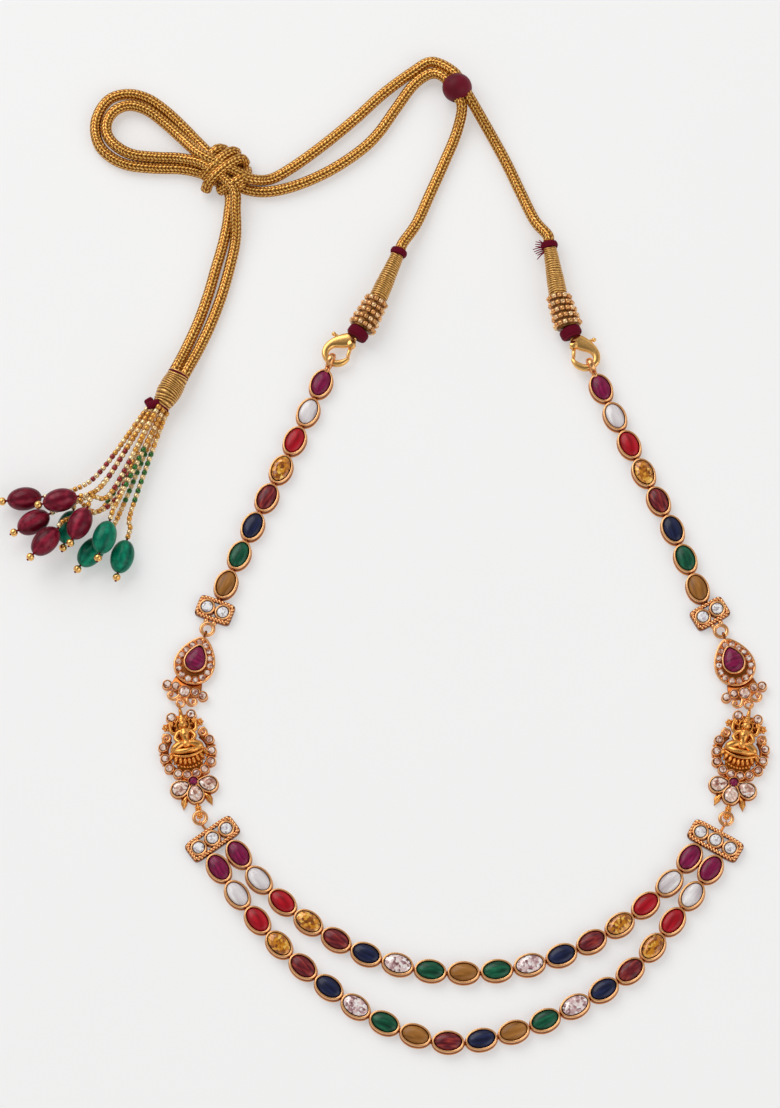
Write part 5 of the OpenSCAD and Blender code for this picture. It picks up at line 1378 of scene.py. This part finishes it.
# %% The figure and its lotus
# limbs as rows of X, Y, height and radius. Those of one side are given for the right. A shin crosses the middle
THIGH = [[0.3, 1.2, 2.2, 0.75], [1.7, 0.8, 2.5, 0.95], [3.0, 0.0, 2.4, 0.85], [3.5, -0.6, 2.1, 0.5]]
SHIN = [[3.2, -0.5, 2.3, 0.5], [1.7, -1.0, 2.9, 0.62], [0.0, -1.15, 3.2, 0.55], [-1.3, -0.9, 3.2, 0.34]]
FOREARM = [[1.5, 4.2, 2.3, 0.42], [2.4, 2.7, 2.6, 0.42], [1.7, 1.5, 3.1, 0.36]]
RAISED_ARM = [[1.1, 4.1, 1.9, 0.4], [2.8, 4.5, 1.9, 0.42], [3.1, 6.4, 1.9, 0.34]]
SASH = [[0.45, 4.9, 2.75, 0.18], [0.75, 4.0, 3.05, 0.2], [0.15, 2.9, 3.45, 0.16]]
TRUNK = [[0, 0.8, 2.1, 1.2], [0, 2, 2.3, 0.88], [0, 3.3, 2.3, 1.15], [0, 4.3, 2.2, 1]]
SHOULDERS = [[-1.8, 4.1, 2.2, 0.45], [-0.8, 4.35, 2.3, 0.6], [0.8, 4.35, 2.3, 0.6], [1.8, 4.1, 2.2, 0.45]]
NECK = [[0, 4.3, 2.4, 0.5], [0, 5.0, 2.45, 0.45], [0, 5.7, 2.5, 0.5]]
# a bud's petals round its middle, X and Y
BUD = [[0, 0.42], [0.42, 0.1], [-0.42, 0.1], [0.25, -0.35], [-0.25, -0.35]]
# the plain face's eyes, nose and mouth: middle of each egg, its three half sizes and its tint
FACE = [
    [-0.33, 6.35, 3.5, 0.2, 0.08, 0.09, 0.5], [0.33, 6.35, 3.5, 0.2, 0.08, 0.09, 0.5],
    [0, 6.05, 3.6, 0.12, 0.24, 0.12, 0.0], [0, 5.68, 3.47, 0.24, 0.07, 0.08, 0.45],
]
# the crown: radius, height and tint
CROWN = np.array([
    [1.2, 0, 0.3], [1.25, 0.3, 0.0], [1.0, 0.5, 0.4], [1.05, 0.9, 0.0], [0.75, 1.15, 0.35], [0.72, 1.5, 0.0],
    [0.35, 1.95, 0.2], [0.1, 2.3, 0.0],
])


def add_figure(b):
    """The seated goddess, with the lap near the origin. Her limbs are a little broader than the tables say."""
    def limb(rows, sides=12, tint=0.1, side=1):
        """A limb as its table gives it, or mirrored with side -1."""
        add_limb(b, np.array(rows) * [1.1 * side, 1, 1, 1.22], sides, tint)

    # the legs are crossed: from the hip on, the right one lies lower than the left
    for side, lower in ((-1, 0.0), (1, 0.3)):
        limb(THIGH - np.outer([0, lower, lower, lower], [0, 0, 1, 0]), 14, side=side)
        limb(SHIN - np.outer([lower] * 4, [0, 0, 1, 0]), side=side)
    limb(TRUNK, 18, 0.15)
    limb(SHOULDERS)
    for side in (-1, 1):
        add_egg(b, [0.5 * side, 3.5, 3.0], 0.5, 0.5, 0.5)
        limb(FOREARM, 10, side=side)
        limb(RAISED_ARM, 10, side=side)
        add_ring(b, 0.42, 0.13, [2.05 * side, 2.1], 2.85, tint=0.0, sides=14, round_sides=6)
        add_egg(b, [1.6 * side, 1.3, 3.1], 0.45, 0.4, 0.35)
        for x, y in BUD:
            add_egg(b, [3.1 * side + x, 6.9 + y, 2.15], 0.3, 0.42, 0.3, tint=0.05)
        add_egg(b, [3.1 * side, 6.9, 2.2], 0.34, 0.34, 0.45, tint=0.0)
        limb(SASH, 8, 0.0, side)
        add_egg(b, [1.0 * side, 6.1, 2.5], 0.24, 0.4, 0.3, tint=0.0)
    limb(NECK)
    # the halo with its granules, and a garland of beads that hangs from the shoulders
    add_ring(b, 1.75, 0.28, [0, 6.3], 1.9, tint=0.25, sides=32, round_sides=8)
    add_granules(b, [0, 6.3, 1.7], 2.15, np.arange(0, 360, 30), 0.3, 6, 8)
    for k in range(-5, 6):
        add_ball(b, [0.4 * k, 0.55 + 0.08 * k * k, 3.4 - 0.03 * k * k], 0.26, 6, 10, 0.0)
    add_egg(b, [0, 6.2, 2.65], 1.05, 1.1, 0.98, tint=0.05, rows=10, sides=20)
    for *at, rx, ry, rz, tint in FACE:
        add_egg(b, at, rx, ry, rz, tint=tint)
    p = lathe(CROWN[:, :2], 24)
    b.grid(np.stack([p[..., 0], 7.0 + p[..., 2], 1.95 - 0.75 * p[..., 1]], axis=-1), tint=CROWN[:, 2])
    for x, y, z in ((-0.7, 7.35, 2.71), (0.0, 7.45, 2.85), (0.7, 7.35, 2.71)):
        add_egg(b, [x, y, z], 0.2, 0.26, 0.16, tint=0.0)


def add_lotus(b):
    """A seat with a curved rim, a row of ribbed petals that fan out under it, and a row of granules below. Heights
    and places follow squares of X, so each row is a shallow bow."""
    seat = [[4.0, 1.0, 0.3], [4.2, 1.1, 0.5], [4.2, 1.1, 1.7], [4.0, 1.0, 1.9]]
    b.grid(stacked(box_outline, seat, 40) + [0, -1.9, 0], tint=[0.9, 0.8, 0.8, 0.7])
    x = np.linspace(-4.7, 4.7, 9)
    add_limb(b, np.column_stack([x, -2.45 + 0.07 * x**2, 2.3 - 0.03 * x**2, 0.42 - 0.006 * x**2]), 12, 0.05)
    for x in np.linspace(-4.5, 4.5, 9):
        y = -3.65 + 0.09 * x * x
        add_egg(b, [x, y, 1.5], 0.6, 1.15, 0.95, 7 * x, 0.15)
        add_egg(b, [x, y, 2.3], 0.14, 0.7, 0.2, 7 * x, 0.0)
    for x in np.linspace(-4.6, 4.6, 13):
        add_ball(b, [x, -5.2 + 0.11 * x * x, 1.2], 0.4, 6, 10, 0.15)


print("the figure's trunk has", len(TRUNK), "rows, and its crown", len(CROWN))

# %% [markdown]
# The arch is one flat band, bent round most of a circle. It carries ten of the twelve round crystals, and small
# granules follow its outer edge. Leaves, rosettes and short wings fill the sides, as in the casting.


# %% Plaques
# X, Y and radius of the round stones on the right side, which the left side mirrors
PLAQUE_SEATS = [
    [2.6, 8.75, 0.95], [6.1, 1.2, 0.85], [6.15, -1.9, 0.85], [5.5, -4.7, 0.85], [3.5, -6.5, 0.85],
    [1.2, -7.2, 0.85],
]
# X, Y and turn of the pear crystals
PLAQUE_PEARS = [[-4, -10.7, -68], [0, -13, 0], [4, -10.7, 68]]
PEAR_STONE, PLAQUE_RUBY_Y = (1.75, 2.6), -9.3
ARCH_Y, ARCH_R, ARCH_HALF, ARCH_Z = -1.2, 6.05, 1.05, 0.6
BACK_PLATE = [
    [-3.2, -7.6], [3.2, -7.6], [3.6, -2], [2.6, 3], [3.2, 6], [2.4, 9.2],
    [-2.4, 9.2], [-3.2, 6], [-2.6, 3], [-3.6, -2],
]
FOOT_PLATE = [[-4, -9], [0, -14], [4, -9], [1.4, -6.5], [-1.4, -6.5]]
# plates of the right side, anticlockwise there
LEAF = np.array([[1.6, -12.2], [2.6, -14.8], [3.8, -16.2], [4.2, -14.4], [3.6, -12.4]])
WING = np.array([[1.0, 5.2], [4.2, 5.6], [4.2, 7.0], [1.0, 7.4]])
LEAF_RIB = np.array([[1.9, -12.5, 0.9, 0.35], [3.0, -13.7, 1.15, 0.5], [3.7, -15.7, 0.95, 0.2]])


def add_arch(b):
    """A band whose section is a square with rounded corners, bent round ARCH_Y from one foot to the other."""
    turn = np.radians(np.linspace(134, 406, 70))[:, None]
    v = np.linspace(0, 2 * np.pi, 16, endpoint=False)[None, :]
    square = (np.cos(v) ** 4 + np.sin(v) ** 4) ** -0.25
    reach = ARCH_R + ARCH_HALF * square * np.cos(v)
    z = ARCH_Z * (1 - square * np.sin(v)) + 0 * turn
    b.grid(np.stack([reach * np.cos(turn), ARCH_Y + reach * np.sin(turn), z], axis=-1), tint=0.65)


rubies = Builder()
for i, side_name in enumerate(("left", "right")):
    place = (side_places(i)["plaque"], SIDES[i][4])
    builder, settings, crystals = Builder().here(*place), Builder().here(*place), Builder()
    add_arch(settings)
    add_plate(builder, BACK_PLATE, 1.14, 0.5)
    add_plate(builder, FOOT_PLATE, 1.08, 0.5)
    add_lotus(builder)
    add_figure(builder)
    for x, y, r in PLAQUE_SEATS:
        for side in (-1, 1):
            add_gem(settings, crystals, place, side * x, y, "plaque", [r, r])
    for x, y, turn in PLAQUE_PEARS:
        add_gem(settings, crystals, place, x, y, "plaque_pear", PEAR_STONE, turn, pear)
    add_ruby(settings, rubies, place, PLAQUE_RUBY_Y, "plaque", i)
    for side in (-1, 1):
        # the eye of the arch's shoulder, a leaf with its rib, a rosette and a wing
        add_ring(settings, 0.95, 0.42, [4.75 * side, 3.6], 1.1, tint=0.15, sides=28, round_sides=12)
        add_ball(settings, [4.75 * side, 3.6, 1.2], 0.45)
        add_plate(builder, (LEAF * [side, 1])[::side], 0.96, 0.3)
        add_limb(builder, LEAF_RIB * [side, 1, 1, 1], 12, 0.05)
        add_granules(builder, [4.4 * side, 6.4, 1.2], 0.75, np.arange(0, 360, 60), 0.42)
        add_ball(builder, [4.4 * side, 6.4, 1.45], 0.5, 7)
        add_plate(builder, (WING * [side, 1])[::side], 1.02, 0.5)
        for x, y in ((5.2, 4.6), (5.71, 2.9)):
            add_ball(builder, [side * x, y, 1.0], 0.5, 7, 10)
    add_granules(settings, [0, ARCH_Y, 0.9], 7.25, np.arange(150, 391, 24), 0.33, 6, 9)
    # the upright ring at the top with its neck, and the large ring at the foot with its rod and two clusters
    add_ring(builder, UPRIGHT_RING_R, 0.25, [0, PLAQUE_TOP], RING_Z, 90, True)
    add_limb(builder, [[0, 8.9, 1.0, 0.6], [0, 10, RING_Z, 0.5], [0, 10.8, RING_Z, 0.36]], 12, 0.2)
    ring_y = PLAQUE_TOP - PLAQUE_L + 1.55
    add_ring(settings, LARGE_RING_R, 0.5, [0, ring_y], RING_Z, tint=0.12, sides=36, round_sides=14)
    add_rod(builder, [0, -14.5, 0.9], [0, ring_y + 1.55, RING_Z], 0.5)
    for y, z, reach, top_z, r in ((0.4, 1.5, 0.6, 1.8, 0.38), (2.6, 1.3, 0.62, 1.7, 0.4)):
        add_granules(builder, [0, ring_y + y, z], reach, np.arange(30, 390, 60), 0.36)
        add_ball(builder, [0, ring_y + y, top_z], r, 7, 12, 0.0)
    plaque = side_name + "_plaque"
    builder.make(plaque + "_casting", FIGURE_GOLD, "figure_gold", plaque, sharp=60)
    settings.make(plaque + "_arch", COPPER_GOLD, "copper_gold", sharp=60)
    crystals.make(plaque + "_cut_crystals", ROSE_CRYSTAL, "crystal", plaque + "_crystals", sharp=1)
rubies.make("plaque_ruby_cabochons", STONES["ruby"], "ruby", "plaque_rubies")

# %% [markdown]
# ## The tassel's strings
# Nine strings of seed beads leave the head. Each goes through one long glass bead and ends in a small gold bead.
# The seed beads are set along the string's curve, each turned to the curve's direction there.

# %% Strings, glass beads and end beads
GLASS_L, GLASS_D, THREAD_R, END_BEAD_D, SEED_R, SEED_PITCH = 9.2, 6.2, 0.3, 2.2, 0.71, 1.32
# start across the head, start height, middle X, Y, Z, glass bead's X, Y, Z, its turn, and 1 for red
STRINGS = [
    [-2.8, 3.4, -97.1, 19.4, 4.9, -115.4, 14.2, 3.3, 187, 1],
    [-1.5, 4.8, -93.7, 18.5, 6.1, -105.7, 12, 8.8, 193, 1],
    [-2.4, 1.1, -95.4, 17.1, 4.8, -112.8, 7.2, 4.8, 209, 1],
    [-0.9, 3, -91.6, 13.7, 3.5, -109.4, 1.1, 7.5, 228, 1],
    [-0.1, 5.9, -92.4, 14.7, 7, -100.4, 5.2, 9.9, 246, 1],
    [-0.6, 1, -94.8, 11.9, 2.4, -103.6, 6.4, 3.1, 256, 0],
    [1.1, 4.6, -90.3, 13.4, 6.1, -93.9, 1.7, 8.9, 254, 0],
    [1.1, 1.5, -90.7, 9.8, 1.7, -97.6, -0.5, 3.1, 233, 0],
    [2.2, 3, -87.2, 11, 2.9, -89.4, -1.8, 3.3, 256, 0],
]
# the tints of the seed beads' four colours
GOLD_BEAD, GREEN_BEAD, RED_BEAD, PALE_BEAD = 0.0, 1 / 3, 2 / 3, 1.0
# by the table's last column: the colour of a string's band, and where the band begins and ends as shares of it
BANDS = {0: (GREEN_BEAD, 0.28, 0.68), 1: (RED_BEAD, 0.42, 0.7)}
# a gold end bead: radius and height, with its hole along Z
END_BEAD = [[0.42, -0.95], [0.8, -0.75], [1.02, -0.42], [1.1, 0], [1.02, 0.42], [0.8, 0.75], [0.42, 0.95]]
random = np.random.default_rng(7)


def string_route(row):
    """The string's smooth line from inside the head, through its middle, to the inner end of its glass bead."""
    across, start_z, mx, my, mz, gx, gy, gz, turn, _ = row
    down, side = np.array([*direction(TASSEL_TURN), 0]), np.array([*up_of(TASSEL_TURN), 0])
    foot = np.array([*TASSEL_HEAD, start_z]) + (TASSEL_L + 0.3) * down + across * side
    bead, axis = np.array([gx, gy, gz]), np.array([*direction(turn), 0])
    points = [foot - 0.6 * down, foot + 5 * down + 0.25 * across * side, [mx, my, mz],
              bead - (GLASS_L / 2 + 3.5) * axis, bead - (GLASS_L / 2 + 0.4) * axis]
    return smooth(np.array(points), 16)


def add_glass(b, row, sides=48):
    """A long bead with streaks: its tint is a sum of waves round it, which drift along it. Each wave's shift and
    drift are drawn from the seeded numbers."""
    a = np.radians(np.linspace(-82, 82, 30))
    radius = np.concatenate([[0.42], GLASS_D / 2 * np.cos(a), [0.42]])
    height = GLASS_L / 2 * np.sin(a[[0, *range(len(a)), -1]])
    p = lathe(np.column_stack([radius, height]), sides)
    h = p[..., 2]
    around = np.linspace(0, 2 * np.pi, sides, endpoint=False)[None, :]
    streak = np.zeros_like(h)
    for waves in (2, 3, 5, 8, 11):
        shift, drift = random.uniform(0, 6.3), random.uniform(-0.25, 0.25)
        streak += np.sin(waves * around + shift + drift * h) / waves**0.4
    b.grid(laid(p, row[5:7], row[8], row[7]), tint=0.5 + 0.11 * streak)


strings, threads, reds, greens, ends = Builder(), Builder(), Builder(), Builder(), Builder()
for row in STRINGS:
    path = string_route(row)
    reach = distances(path)
    count = int(reach[-1] / SEED_PITCH)
    at = (np.arange(count) + 0.5) * reach[-1] / count
    spots = np.stack([np.interp(at, reach, path[:, k]) for k in range(3)], axis=1)
    ways = unit(np.gradient(spots, axis=0))
    band, first, last = BANDS[row[9]]
    for k, (spot, way) in enumerate(zip(spots, ways)):
        if first < k / count < last:
            colour = band if k % 2 else PALE_BEAD
        else:
            # outside the bands, two gold beads in five are pale: painted glints
            colour = PALE_BEAD if k % 5 in (1, 4) else GOLD_BEAD
        strings.grid(oriented(seed_bead(SEED_R), spot, way), tint=colour)
    axis, bead = np.array([*direction(row[8]), 0]), np.array(row[5:8])
    line = np.array([bead - (GLASS_L / 2 + 1.0) * axis, bead, bead + (GLASS_L / 2 + END_BEAD_D + 0.25) * axis])
    p, uv = tube(resample(line, 1.0), THREAD_R, 8)
    threads.grid(p, uv=uv)
    add_glass(reds if row[9] else greens, row)
    tip = bead + (GLASS_L / 2 + END_BEAD_D / 2 + 0.15) * axis
    ends.grid(laid(lathe(END_BEAD, 14), tip[:2], row[8], tip[2]), tint=0.1)
strings.make("tassel_seed_beads", SEED_BEADS, "seed_beads", "tassel_strings")
threads.make("tassel_threads", MAROON_SILK, "maroon_thread")
reds.make("tassel_red_glass", RED_GLASS, "red_glass", "tassel_red_beads")
greens.make("tassel_green_glass", GREEN_GLASS, "green_glass", "tassel_green_beads")
ends.make("tassel_gold_end_beads", CLASP_GOLD, "seed_beads", "tassel_end_beads")

# %% [markdown]
# ## Floor and light
# The necklace was photographed on a plain pale ground with light from all round it, so shadows are faint. Here
# the ground glows a little by itself, as a lit table does, and two wide soft lights stand low beside it. The sky
# above is only grey: what lies straight over a stone is mirrored in it, so a dim sky keeps the stones deep.

# %% Stage
FLOOR_HALF, FLOOR_GLOW, SKY_STRENGTH = 3.0, 0.36, 0.75
# heights on the sky, from the horizon at 0 to straight up at 1, and their colours
SKY = [
    (0.0, "#5E5852"), (0.14, "#8E8883"), (0.32, "#E6E4E2"), (0.6, "#FFFFFF"), (0.86, "#ACAAA8"), (1.0, "#8A8885"),
]

floor_mesh = bpy.data.meshes.new("floor")
corners = [(x * FLOOR_HALF, y * FLOOR_HALF, 0) for x, y in ((-1, -1), (1, -1), (1, 1), (-1, 1))]
floor_mesh.from_pydata(corners, [], [(0, 1, 2, 3)])
floor = bpy.data.objects.new("floor", floor_mesh)
scene.collection.objects.link(floor)
paper, tree = blank("pale_paper_ground")
where = add(tree, "TexCoord").outputs["Object"]
pulp = add(tree, "TexNoise", {"Vector": where, "Scale": 1000 / 40, "Detail": 2.0}).outputs["Fac"]
tone = add(tree, "MapRange", {0: pulp, 3: 0.6, 4: 0.615}).outputs[0]
floor_mesh.materials.append(shaded(paper, {
    "Base Color": tone, "Roughness": 0.9, "Specular IOR Level": 0.1, "Emission Color": (1, 1, 1, 1),
    "Emission Strength": FLOOR_GLOW,
}))

world = bpy.data.worlds.new("studio_sky")
world.use_nodes = True
scene.world = world
sky = world.node_tree
sky.nodes.clear()
ray = add(sky, "TexCoord").outputs["Generated"]
height = add(sky, "SeparateXYZ", {"Vector": ray}).outputs["Z"]
glow = add(sky, "ValToRGB", {"Fac": height}, SKY).outputs["Color"]
background = add(sky, "Background", {"Color": glow, "Strength": SKY_STRENGTH})
add(sky, "OutputWorld", {"Surface": background.outputs["Background"]})


def soft_light(name, place, power, size):
    """A square soft light that looks at the necklace's middle."""
    data = bpy.data.lights.new(name, "AREA")
    data.energy, data.size = power, size
    lamp = bpy.data.objects.new(name, data)
    lamp.location = place
    lamp.rotation_euler = (target - Vector(place)).to_track_quat("-Z", "Y").to_euler()
    scene.collection.objects.link(lamp)


soft_light("key", (-0.7, 0.9, 1.1), 12.0, 1.3)
soft_light("fill", (1.0, -0.7, 0.9), 5.0, 1.3)
print("lights placed")
